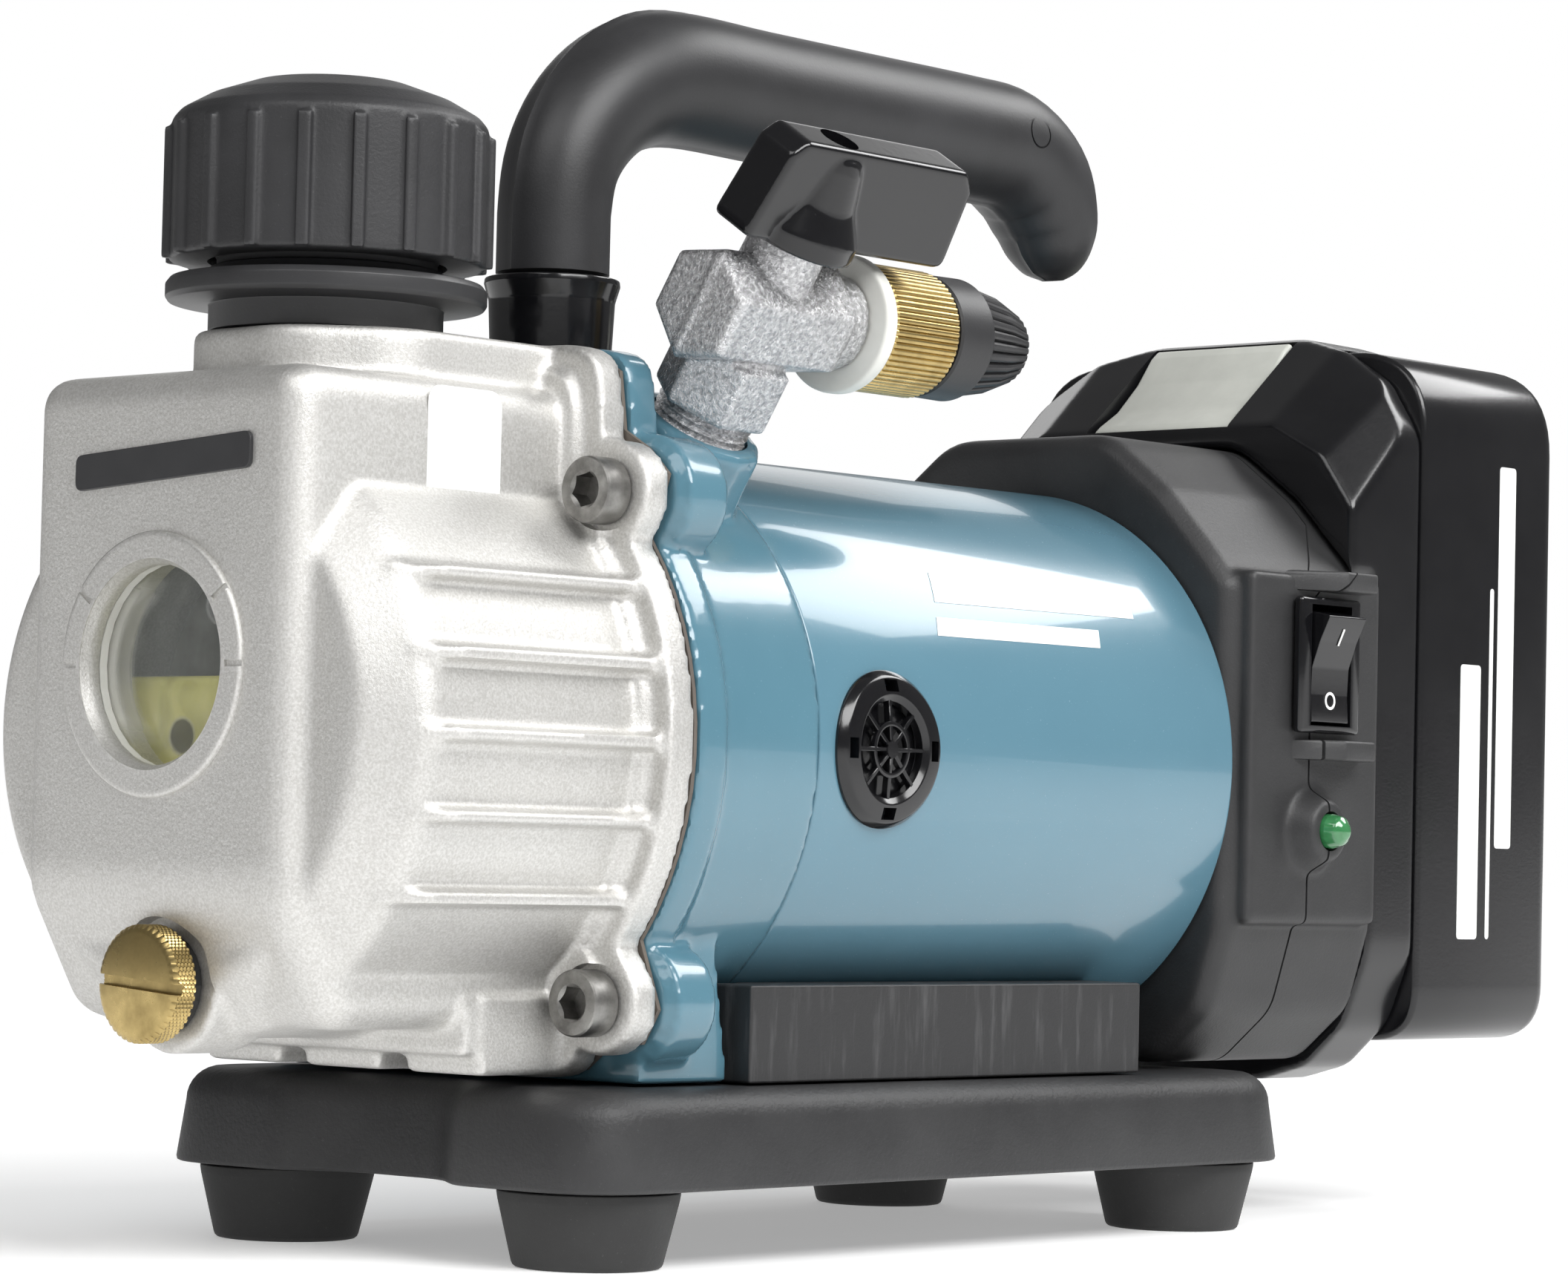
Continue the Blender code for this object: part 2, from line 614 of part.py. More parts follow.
def make_reservoir(silver):
    bm = prism(reservoir_side(0, RES_FRONT, FLANGE_X - 0.001, 0), -RES_Y, RES_Y, "Y")
    soften(bm, 0.0035, lambda e: at_height(0, RES_FRONT)(e) or at_height(2, RES_TOP)(e) or (
        max(v.co.x for v in e.verts) < FLANGE_X - 0.001 and min(v.co.z for v in e.verts) < RES_LOW + 0.02), 2)
    res = add("oil_reservoir", bm, silver)
    drum = lathe([(0, DRUM_X[0]), (DRUM_R[0], DRUM_X[0]), (DRUM_R[1], DRUM_X[1]), (DRUM_R[1], FLANGE_X - 0.0005),
                  (0, FLANGE_X - 0.0005)], 44)
    join(res, drum, parent=AXLE)
    join(res, prism(lift(flange_outline(), AXIS_Z), FLANGE_X - FLANGE_T, FLANGE_X, "X"))
    pad = fillet([(PAD_X, -PAD_Y), (FLANGE_X - 0.001, -PAD_Y), (FLANGE_X - 0.001, PAD_Y), (PAD_X, PAD_Y)],
                 [0.016, 0, 0, 0.016], 5)
    join(res, soften(prism(pad, RES_TOP - 0.002, PAD_TOP), 0.0012, at_height(2, PAD_TOP), 1))
    for index in range(RIB_COUNT):
        height = (index - (RIB_COUNT - 1) / 2) * RIB_PITCH
        reach = sqrt(RIB_R ** 2 - height ** 2)
        root = sqrt(DRUM_R[1] ** 2 - height ** 2) - 0.001
        rib = [(DRUM_X[1] + 0.001, root), (DRUM_X[1] + 0.006, reach), (FLANGE_X - 0.001, reach),
               (FLANGE_X - 0.001, root)]
        low = AXIS_Z + height - RIB_T / 2
        join(res, prism(rib, low, low + RIB_T))
        join(res, prism([(x, -y) for x, y in rib], low, low + RIB_T))
    join(res, lathe([(0, RES_FRONT - SIGHT_RIM_T), (SIGHT_RIM_R, RES_FRONT - SIGHT_RIM_T),
                     (SIGHT_RIM_R, RES_FRONT + 0.002), (0, RES_FRONT + 0.002)], 28), parent=SIGHT)
    boss_face = PLUG_FACE + PLUG_HEAD + GAP + SEAL_T + GAP
    join(res, rod(PLUG_R + 0.0015, boss_face, RES_FRONT + 0.014), parent=PLUG)
    cut(res, rod(PLUG_R + 0.0010, PLUG_FACE, boss_face), parent=PLUG)
    hollow_reservoir(res)


def hollow_reservoir(res):
    inner_y = RES_Y - RES_WALL
    inside = reservoir_side(RES_WALL, RES_FRONT + RES_FACE, FLANGE_X + 0.001, RES_WALL + 0.001)
    cut(res, prism(inside, -inner_y, inner_y, "Y"))
    drum_r = DRUM_R[1] - DRUM_WALL
    cut(res, rod(drum_r, DRUM_X[1] + 0.0035, FLANGE_X + 0.001, 28), parent=AXLE)
    boss_end = RES_FRONT + RES_FACE + SIGHT_BOSS
    join(res, rod(SIGHT_SEAT_R + 0.003, RES_FRONT + 0.003, boss_end), parent=SIGHT)
    cut(res, rod(SIGHT_R, RES_FRONT - 0.002, boss_end + 0.001, 28), parent=SIGHT)
    cut(res, rod(SIGHT_SEAT_R, SIGHT_SEAT_X, boss_end + 0.001, 28), parent=SIGHT)
    cut(res, rod(PLUG_SHANK_R + RUN, PLUG_FACE, RES_FRONT + 0.0145, 16), parent=PLUG)
    cut(res, rod(NECK_STUB_R + RUN, RES_TOP - 0.012, PAD_TOP + 0.001), location=(NECK_X, 0, 0))
    for y, z in each_screw():
        hole = rod(SCREW_R + RUN, FLANGE_X - FLANGE_T - 0.001, FLANGE_X + 0.001, 10)
        cut(res, moved(hole, (AXIS_Z - z, y, 0)), parent=AXLE)
        seat = rod(SCREW_HEAD_R + 0.0006, FLANGE_X - FLANGE_T - 0.012, FLANGE_X - FLANGE_T, 12)
        cut(res, moved(seat, (AXIS_Z - z, y, 0)), parent=AXLE)


def make_sight_glass(glass, rubber):
    bore = SIGHT_SEAT_R - GAP
    start = SIGHT_SEAT_X + GAP
    add("sight_glass_seal", ring(bore, SIGHT_R + 0.0002, start, start + SEAL_T, 28), rubber, SIGHT)
    start += SEAL_T + GAP
    add("sight_glass", rod(bore, start, start + GLASS_T, 28), glass, SIGHT)


def make_drain_plug(brass, rubber):
    rear = PLUG_FACE + PLUG_HEAD
    profile = [(0, PLUG_FACE), (PLUG_R - 0.0006, PLUG_FACE), (PLUG_R, PLUG_FACE + 0.0006), (PLUG_R, rear),
               (PLUG_SHANK_R, rear), (PLUG_SHANK_R, rear + PLUG_SHANK), (0, rear + PLUG_SHANK)]
    plug = add("drain_plug", lathe(profile, 20), brass, PLUG)
    wide, deep = PLUG_SLOT
    cut(plug, block((-wide / 2, wide / 2), (-PLUG_R * 1.2, PLUG_R * 1.2), (PLUG_FACE - 0.001, PLUG_FACE + deep)))
    add("drain_plug_seal", ring(PLUG_SHANK_R + 0.0022, PLUG_SHANK_R + GAP, rear + GAP, rear + GAP + SEAL_T, 20),
        rubber, PLUG)


def make_oil(oil):
    """The oil in front of the cartridge, up to the middle of the sight glass."""
    rear = body_front() - GAP - STATOR_L - GAP - COVER_T - OIL_GAP
    front = RES_FRONT + RES_FACE + SIGHT_BOSS + OIL_GAP
    low = RES_LOW + RES_WALL + 0.001 + OIL_GAP
    outline = [(front, OIL_TOP), (front, RES_CHIN[0]), (front + 0.004, low), (rear, low), (rear, OIL_TOP)]
    half = RES_Y - RES_WALL - OIL_GAP
    add("oil_charge", prism(outline, -half, half, "Y"), oil)


def make_exhaust(black, rubber, felt):
    low = PAD_TOP + GAP
    ring_low, ring_high = NECK_RING_Z
    profile = [(NECK_BORE, low - NECK_STUB), (NECK_STUB_R, low - NECK_STUB), (NECK_STUB_R, low), (NECK_R, low),
               (NECK_R, ring_low), (NECK_RING_R, ring_low + 0.0006), (NECK_RING_R, ring_high),
               (NECK_R, ring_high), (NECK_R, ring_high + 0.0014), (NECK_THREAD_R, ring_high + 0.0014),
               (NECK_THREAD_R, NECK_TOP), (NECK_BORE, NECK_TOP)]
    add("filler_neck", lathe(profile, 24, closed=True), black, NECK)
    add("exhaust_filter", ring(NECK_BORE - GAP, FILTER_BORE, low - NECK_STUB + 0.001, NECK_TOP - 0.001), felt, NECK)
    roof = NECK_TOP + GAP + SEAL_T + GAP
    add("cap_seal", ring(NECK_THREAD_R - 0.0004, NECK_BORE + 0.0005, NECK_TOP + GAP, NECK_TOP + GAP + SEAL_T),
        rubber, NECK)
    bottom, shoulder = CAP_Z
    dome = [(CAP_R * cos(a), shoulder + CAP_DOME * sin(a)) for a in (0.0, 0.5, 1.0)]
    outer = lathe([(0, bottom), (CAP_SKIRT_R - 0.0006, bottom), *dome, (0, shoulder + CAP_DOME)], 32)
    cap = add("exhaust_cap", outer, black, NECK)
    rib_h = shoulder - bottom - 0.002
    for index in range(CAP_RIBS):
        angle = 2 * pi * (index + 0.5) / CAP_RIBS
        rib = block((CAP_R - 0.003, CAP_SKIRT_R + 0.0002), (-0.0006, 0.0006), (bottom, bottom + rib_h))
        bmesh.ops.rotate(rib, verts=rib.verts, cent=(0, 0, 0), matrix=Matrix.Rotation(angle, 3, "Z"))
        join(cap, rib)
    cut(cap, rod(CAP_BORE, bottom - 0.001, roof, 24))


def make_cartridge(iron, steel, carbon):
    rear = body_front() - GAP
    front = rear - STATOR_L
    stator = add("pump_stator", rod(STATOR_R, front, rear, 28), iron, AXLE)
    bore = moved(rod(STATOR_BORE, front - 0.001, rear + 0.001, 28), (-STATOR_OFFSET, 0, 0))
    cut(stator, bore)
    add("stator_cover", ring(STATOR_R, SHAFT_R + RUN, front - GAP - COVER_T, front - GAP, 28), iron, AXLE)
    rotor = add("pump_rotor", ring(ROTOR_R, SHAFT_R + GAP, front + RUN, rear - RUN, 24), steel, AXLE)
    for index, side in enumerate((-1, 1), 1):
        span = sorted((side * (VANE_ROOT - GAP), side * (ROTOR_R + 0.002)))
        cut(rotor, block((-VANE_T / 2 - GAP, VANE_T / 2 + GAP), span, (front, rear)))
        vane = sorted((side * VANE_ROOT, side * (ROTOR_R - GAP)))
        add(f"vane_{index}", block((-VANE_T / 2, VANE_T / 2), vane, (front + RUN, rear - RUN)), carbon, AXLE)
    web = (COUPLING_X[0] + COUPLING_X[1] - COUPLING_WEB) / 2
    add("drive_shaft", rod(SHAFT_R, DRIVE_SHAFT_FRONT, web - GAP), steel, AXLE)
    return front


def make_coupling(black, rubber):
    coupling = add("shaft_coupling", rod(COUPLING_R, *COUPLING_X, 20), black, AXLE)
    middle = sum(COUPLING_X) / 2
    cut(coupling, rod(SHAFT_R + GAP, COUPLING_X[0] - 0.001, middle - COUPLING_WEB / 2))
    cut(coupling, rod(SHAFT_R + GAP, middle + COUPLING_WEB / 2, COUPLING_X[1] + 0.001))
    start = body_front() + BODY_WALL / 2 + GAP
    add("shaft_seal", ring(SEAL_R, SHAFT_R + RUN, start, start + BODY_WALL / 2 - 2 * GAP), rubber, AXLE)


def make_intake_valve(nickel, steel, ptfe, brass, black):
    body = add("intake_valve_body", prism(hexagon(INLET_AF), *INLET_HEX), nickel, INTAKE)
    join(body, rod(THREAD_R, THREAD_END, INLET_HEX[0] + 0.001))
    bar = lift(hexagon(VALVE_AF, pi / 2), VALVE_T)
    join(body, prism(bar, *VALVE_X, "X"))
    join(body, rod(STEM_BOSS_R, VALVE_T, STEM_BOSS_TOP, 20))
    port = dict(location=(0, 0, VALVE_T), rotation=(0, pi / 2, 0))
    join(body, rod(PORT_R, VALVE_X[1] - 0.001, PORT_END, 20), **port)
    cut(body, sphere(BALL_R + GAP), location=(0, 0, VALVE_T))
    cut(body, rod(FLOW_R, THREAD_END - 0.001, VALVE_T, 12))
    cut(body, rod(FLOW_R, 0, PORT_END + 0.001, 12), **port)
    cut(body, rod(STEM_R + RUN, VALVE_T, STEM_BOSS_TOP + 0.001, 12))
    ball = add("valve_ball", sphere(BALL_R), steel, INTAKE, (0, 0, VALVE_T))
    cut(ball, rod(FLOW_R, -BALL_R * 1.2, 0, 12), location=(0, 0, VALVE_T))
    cut(ball, rod(FLOW_R, -FLOW_R / 2, BALL_R * 1.2, 12), **port)
    cut(ball, rod(BALL_R, BALL_R * 0.85, BALL_R * 1.2, 12), location=(0, 0, VALVE_T))
    add("valve_stem", rod(STEM_R, VALVE_T + BALL_R * 0.85 + GAP, STEM_TOP, 12), steel, INTAKE)
    make_lever(black, steel)
    start = VALVE_X[1] + GAP
    add("port_washer", ring(WASHER_R, PORT_R + GAP, start, start + WASHER_T, 24), ptfe, INTAKE, **port)
    start += WASHER_T + GAP
    profile = [(PORT_R + GAP, start), (KNURL_R - 0.0008, start), (KNURL_R, start + 0.001),
               (KNURL_R, start + KNURL_L - 0.0008), (KNURL_R - 0.0008, start + KNURL_L), (PORT_R + GAP, start + KNURL_L)]
    add("knurled_ring", lathe(profile, 24, closed=True), brass, INTAKE, **port)
    start += KNURL_L + GAP
    seal = PORT_END + GAP
    add("port_cap_seal", rod(PORT_R - 0.0004, seal, seal + SEAL_T, 20), ptfe, INTAKE, **port)
    end = start + PORT_CAP_L
    profile = [(0, start), (0.0082, start), (0.0083, start + 0.0070), (0.0069, start + 0.0125),
               (0.0050, end - 0.0016), (0.0034, end), (0, end)]
    cap = add("port_cap", lathe(profile, 24), black, INTAKE, **port)
    cut(cap, rod(PORT_R + RUN, start - 0.001, seal + SEAL_T + GAP, 20), **port)


def make_lever(black, steel):
    low, high = LEVER_Z
    side = [(-0.0124, low), (0.0279, low), (0.0262, high - 0.0026), (0.0236, high), (-0.0088, high),
            (-0.0108, high - 0.0020)]
    lever = add("valve_lever", prism(side, -LEVER_T / 2, LEVER_T / 2, "Y"), black, INTAKE)
    join(lever, lathe([(0, low - 0.0001), (LEVER_HUB_R[0], low - 0.0001), (LEVER_HUB_R[0] - 0.0006, low + 0.003),
                       (LEVER_HUB_R[1], high - 0.002), (0, high - 0.002)], 24))
    cut(lever, rod(STEM_R + GAP, low - 0.002, STEM_TOP + GAP, 12))
    cut(lever, rod(LEVER_SCREW_R + GAP, STEM_TOP + 0.0002, high + 0.002, 16))
    add("lever_screw", rod(LEVER_SCREW_R, STEM_TOP + GAP + 0.0001, STEM_TOP + GAP + LEVER_SCREW_T, 16), steel, INTAKE)


def make_handle(black, rubber):
    path = [(0, HANDLE_BOSS_TOP + GAP, POST_STUB_R), (0, COLLAR_TOP, POST_STUB_R), (0, COLLAR_TOP + 0.0003, POST_R),
            (0, 0.1370, POST_R), (0.0014, 0.1445, POST_R + 0.0002), (0.0058, 0.1510, POST_R + 0.0007),
            (0.0125, 0.1558, GRIP_R - 0.0005), (0.0215, GRIP_Z, GRIP_R), (0.0400, GRIP_Z, GRIP_R),
            (0.0835, GRIP_Z, GRIP_R), (0.0935, 0.1572, GRIP_R), (0.1010, 0.1535, GRIP_R - 0.0004),
            (0.1050, 0.1482, GRIP_R - 0.0012), (0.1065, 0.1440, 0.0066), (0.1072, 0.1408, 0.0040),
            (0.1075, 0.1393, 0.0014)]
    add("handle", sweep([(HANDLE_X + x, z, radius) for x, z, radius in path], 16), black)
    add("handle_collar", ring(COLLAR_R, POST_STUB_R + 0.0004, HANDLE_BOSS_TOP + GAP, COLLAR_TOP - 0.0001, 24), rubber,
        location=(HANDLE_X, 0, 0))


def housing_outline(inset=0.0):
    """The rear housing's section, as (y, z)."""
    half = [(0.0130, HOUSING_TOP), (0.0245, HOUSING_TOP - 0.0085), (0.0365, HOUSING_TOP - 0.0175),
            (HOUSING_Y, HOUSING_TOP - 0.0225), (HOUSING_Y, HOUSING_LOW + 0.0200), (0.0350, HOUSING_LOW + 0.0080),
            (0.0260, HOUSING_LOW)]
    middle = (HOUSING_TOP + HOUSING_LOW) / 2
    tall = (HOUSING_TOP - HOUSING_LOW) / 2
    scale_y = (HOUSING_Y - inset) / HOUSING_Y
    scale_z = (tall - inset) / tall
    return mirrored([(y * scale_y, middle + (z - middle) * scale_z) for y, z in half])


def part_line(front):
    """Side outline of the space in front of, or behind, the housing's parting face, as (x, z)."""
    far = MOTOR_X[1] - 0.01 if front else PACK_REAR
    shift = -GAP / 2 if front else GAP / 2
    low = PART_LOW_X + shift
    high = PART_TOP_X + shift
    return [(far, 0), (low, 0), (low, PANEL_Z[1] - 0.004), (high, HOUSING_TOP - 0.012), (high, 0.2), (far, 0.2)]


def make_housing(black):
    start = MOTOR_X[1] + GAP
    for name, front in (("housing_front", True), ("housing_rear", False)):
        half = add(name, prism(housing_outline(), start, HOUSING_REAR, "X"), black)
        panel = prism([(x, z) for x, z in rounded((PANEL_X[1] - PANEL_X[0]) / 2, (PANEL_Z[1] - PANEL_Z[0]) / 2, 0.0015,
                       (sum(PANEL_X) / 2, sum(PANEL_Z) / 2), 1)], -PANEL_Y, PANEL_Y, "Y")
        join(half, panel)
        wide, deep, tall = GUARD
        for z in (SWITCH_Z + SWITCH_SIZE[1] / 2 + 0.0012, SWITCH_Z - SWITCH_SIZE[1] / 2 - 0.0012 - deep):
            wedge = [(SWITCH_X - wide / 2 + 0.002, -PANEL_Y + 0.001), (SWITCH_X + wide / 2, -PANEL_Y + 0.001),
                     (SWITCH_X + wide / 2 - 0.003, -PANEL_Y - tall), (SWITCH_X - wide / 2 + 0.009, -PANEL_Y - tall)]
            join(half, prism(wedge, z, z + deep))
        base_r, top_r, boss_h = LED_BOSS
        join(half, lathe([(0, PANEL_Y - 0.001), (base_r, PANEL_Y - 0.001), (top_r, PANEL_Y + boss_h),
                          (0, PANEL_Y + boss_h)], 24), parent=LED)
        cut(half, prism(housing_outline(HOUSING_WALL), start + HOUSING_WALL, HOUSING_REAR - HOUSING_WALL, "X"))
        cut(half, rod(BEARING_R + 0.004, start - 0.001, start + 0.004), parent=AXLE)
        slot = prism(rounded(SWITCH_BODY[0] / 2 + GAP, SWITCH_BODY[1] / 2 + GAP, 0.0005,
                             (SWITCH_X, SWITCH_Z), 1), -PANEL_Y - 0.01, -PANEL_Y + SWITCH_DEPTH + 0.002, "Y")
        cut(half, slot)
        cut(half, rod(LED_R + GAP, PANEL_Y - 0.008, PANEL_Y + 0.02, 20), parent=LED)
        keep(half, prism(part_line(front), -0.1, 0.1, "Y"))


def make_switch(black):
    """Bezel and rocker, laid out from the rocker's pivot, with -Y outward."""
    wide, tall = SWITCH_SIZE
    bezel = add("switch_bezel", prism(rounded(wide / 2, tall / 2, 0.0008, steps=1), -SWITCH_RIM - GAP, -GAP, "Y"),
                black, SWITCH)
    join(bezel, prism(rounded(SWITCH_BODY[0] / 2, SWITCH_BODY[1] / 2, 0.0005, steps=1), -GAP - 0.0005, SWITCH_DEPTH, "Y"))
    half_x, half_z = ROCKER_SIZE[0] / 2 + RUN, ROCKER_SIZE[1] / 2 + 0.0009
    cut(bezel, block((-half_x, half_x), (-0.01, SWITCH_DEPTH - 0.002), (-half_z, half_z)))
    end = ROCKER_SIZE[1] / 2
    side = [(-0.0034, -end), (-0.0018, 0), (-0.0034, end), (0.0010, end), (0.0060, 0.0030), (0.0060, -0.0030),
            (0.0010, -end)]
    add("switch_rocker", prism(side, -ROCKER_SIZE[0] / 2, ROCKER_SIZE[0] / 2, "X"), black, SWITCH,
        rotation=(ROCKER_REST, 0, 0))


def make_led(green):
    low = PANEL_Y - 0.006
    shoulder = PANEL_Y + LED_BOSS[2]
    dome = [(LED_R * cos(a), shoulder + LED_TIP * sin(a)) for a in (0.0, 0.5, 1.0)]
    add("power_led", lathe([(0, low), (LED_R, low), *dome, (0, shoulder + LED_TIP)], 20), green, LED)


def make_terminals(black):
    low, high = BLOCK_Z
    start = HOUSING_REAR + GAP
    add("terminal_block", block((start, start + BLOCK_X), (-BLOCK_Y, BLOCK_Y), (low, high)), black)


def make_battery(black, white, cell):
    case = prism([(y, z) for y, z in rounded(PACK_Y, (PACK_Z[1] - PACK_Z[0]) / 2, PACK_EDGE,
                  (0, sum(PACK_Z) / 2), 3)], PACK_SPLIT + GAP, PACK_REAR, "X")
    soften(case, 0.0040, at_height(0, PACK_REAR), 2)
    battery = add("battery_case", case, black)
    inner = prism(rounded(PACK_Y - PACK_WALL, (PACK_Z[1] - PACK_Z[0]) / 2 - PACK_WALL, PACK_EDGE - PACK_WALL,
                          (0, sum(PACK_Z) / 2), 2), PACK_SPLIT - 0.001, PACK_REAR - PACK_WALL, "X")
    cut(battery, inner)
    cut(battery, button_pocket(), parent=BUTTON)
    room = PACK_WALL + 0.001
    cells = prism(rounded(PACK_Y - room, (PACK_Z[1] - PACK_Z[0]) / 2 - room, 0.003, (0, sum(PACK_Z) / 2), 1),
                  PACK_SPLIT + 0.001, PACK_REAR - room, "X")
    add("cell_pack", cells, cell)
    make_pack_front(black)
    make_button(white)


def make_pack_front(black):
    """The half with the rails: a plate with a channel for the terminal block, and the dome over it."""
    section = mirrored([(0.0140, DOME_TOP), (0.0233, 0.1305), (0.0305, 0.1255), (RAIL_Y, DOME_LOW), (RAIL_Y, 0.0400),
                        (0.0330, 0.0290), (0.0260, 0.0225), (0.0180, LIP_Z)])
    low_x, top_x, rear_x = DOME_X
    side = [(PACK_FRONT, LIP_Z - 0.001), (PACK_SPLIT, LIP_Z - 0.001), (PACK_SPLIT, DOME_TOP - 0.02),
            (PACK_SPLIT, PACK_Z[1] + GAP), (rear_x, PACK_Z[1] + GAP), (rear_x - 0.001, DOME_TOP - 0.0006),
            (top_x, DOME_TOP), (low_x, DOME_LOW + 0.0012), (low_x, HOUSING_TOP + 0.0010),
            (PACK_FRONT, HOUSING_TOP + 0.0010)]
    front = add("battery_rail_shell", prism(section, low_x - 0.005, rear_x + 0.005, "X"), black)
    keep(front, prism(side, -0.05, 0.05, "Y"))
    cut(front, block((PACK_FRONT - 0.001, PACK_FRONT + CHANNEL_DEPTH), (-CHANNEL_Y, CHANNEL_Y),
                     (LIP_Z - 0.002, BLOCK_Z[1] + 0.001)))
    cut(front, button_pocket(), parent=BUTTON)


def button_length():
    return 0.88 * hypot(DOME_X[1] - DOME_X[0], DOME_TOP - DOME_LOW)


def button_pocket():
    reach = (button_length() + 0.0010) / 2
    return block((-reach, reach), (-BUTTON_Y - 0.0005, BUTTON_Y + 0.0005),
                 (-BUTTON_T - BUTTON_TRAVEL - 0.0004, 0.004))


def make_button(white):
    reach = button_length() / 2
    bm = block((-reach, reach), (-BUTTON_Y, BUTTON_Y), (-BUTTON_T, 0.0003))
    soften(bm, 0.0012, at_height(2, 0.0003), 2)
    add("battery_button", bm, white, BUTTON)


def settle(frame):
    """Centre the whole object on its own box, standing on the floor."""
    bpy.context.view_layer.update()
    graph = bpy.context.evaluated_depsgraph_get()
    low = Vector((1e9, 1e9, 1e9))
    high = -low
    for obj in bpy.context.scene.objects:
        if obj.type == "MESH" and not obj.hide_render:
            done = obj.evaluated_get(graph)
            for vert in done.to_mesh().vertices:
                place = done.matrix_world @ vert.co
                low = Vector(map(min, low, place))
                high = Vector(map(max, high, place))
            done.to_mesh_clear()
    frame.location = (-(low.x + high.x) / 2, -(low.y + high.y) / 2, -low.z)


for leftover in list(bpy.data.objects):
    bpy.data.objects.remove(leftover)

SLOPE = atan2(DOME_TOP - DOME_LOW, DOME_X[1] - DOME_X[0])
FRAME = guide("foot_pattern_centre", (0, 0, 0))
AXLE = guide("drive_axis", (0, 0, AXIS_Z), (0, pi / 2, 0), FRAME)
SIGHT = guide("sight_axis", (0, 0, SIGHT_Z), (0, pi / 2, 0), FRAME)
PLUG = guide("plug_axis", (0, 0, PLUG_Z), (0, pi / 2, 0), FRAME)
VENT = guide("vent_axis", (VENT_X, 0, AXIS_Z), (pi / 2, 0, 0), FRAME)
NECK = guide("neck_axis", (NECK_X, 0, 0), (0, 0, 0), FRAME)
INTAKE = guide("intake_axis", (INTAKE_X, 0, AXIS_Z), (INTAKE_TILT, 0, 0), FRAME)
SWITCH = guide("rocker_pivot", (SWITCH_X, -PANEL_Y, SWITCH_Z), (0, 0, 0), FRAME)
LED = guide("led_axis", (LED_X, 0, LED_Z), (pi / 2, 0, 0), FRAME)
BUTTON = guide("button_face", ((DOME_X[0] + DOME_X[1]) / 2, 0, (DOME_TOP + DOME_LOW) / 2), (0, -SLOPE, 0), FRAME)

PLASTIC = look("black_plastic", (0.022, 0.022, 0.024), 0.5)
RUBBER = look("black_rubber", (0.012, 0.012, 0.012), 0.8)
SILVER = look("cast_aluminium", (0.62, 0.61, 0.58), 0.45, 0.9)
TEAL = look("teal_paint", (0.045, 0.22, 0.29), 0.25)
BRASS = look("brass", (0.62, 0.44, 0.16), 0.35, 1.0)
NICKEL = look("nickel", (0.62, 0.62, 0.63), 0.35, 1.0)
STEEL = look("steel", (0.42, 0.42, 0.42), 0.35, 1.0)
IRON = look("cast_iron", (0.18, 0.18, 0.19), 0.6, 0.8)
COPPER = look("copper_winding", (0.45, 0.18, 0.07), 0.4, 0.8)
GLASS = look("sight_glass", (0.85, 0.88, 0.86), 0.05, 0.0, 0.35)
OIL = look("pump_oil", (0.55, 0.50, 0.08), 0.1, 0.0, 0.8)
PTFE = look("white_ptfe", (0.80, 0.80, 0.77), 0.4)
WHITE = look("white_plastic", (0.62, 0.62, 0.59), 0.4)
GREEN = look("green_led", (0.03, 0.20, 0.06), 0.15, 0.0, 0.9)
PAPER = look("gasket_paper", (0.24, 0.17, 0.12), 0.8)
FELT = look("filter_felt", (0.60, 0.58, 0.50), 0.95)
CARBON = look("carbon", (0.05, 0.05, 0.05), 0.6)
MAGNET = look("ferrite", (0.09, 0.09, 0.10), 0.7)

make_feet(RUBBER)
BASE_TOP = make_base(PLASTIC)
make_cradle(PLASTIC, BASE_TOP)
make_motor(TEAL, STEEL, SILVER, MAGNET, COPPER, PLASTIC)
make_vent(PLASTIC)
make_pump_body(TEAL)
make_gasket(PAPER)
make_screws(STEEL)
make_reservoir(SILVER)
make_sight_glass(GLASS, RUBBER)
make_drain_plug(BRASS, RUBBER)
make_oil(OIL)
make_exhaust(PLASTIC, RUBBER, FELT)
make_cartridge(IRON, STEEL, CARBON)
make_coupling(PLASTIC, RUBBER)
make_intake_valve(NICKEL, STEEL, PTFE, BRASS, PLASTIC)
make_handle(PLASTIC, RUBBER)
make_housing(PLASTIC)
make_switch(PLASTIC)
make_led(GREEN)
make_terminals(PLASTIC)
make_battery(PLASTIC, WHITE, MAGNET)
settle(FRAME)
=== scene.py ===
from math import atan2, cos, pi, radians, sin, sqrt, tan

import bmesh
import bpy
from mathutils import Matrix, Vector


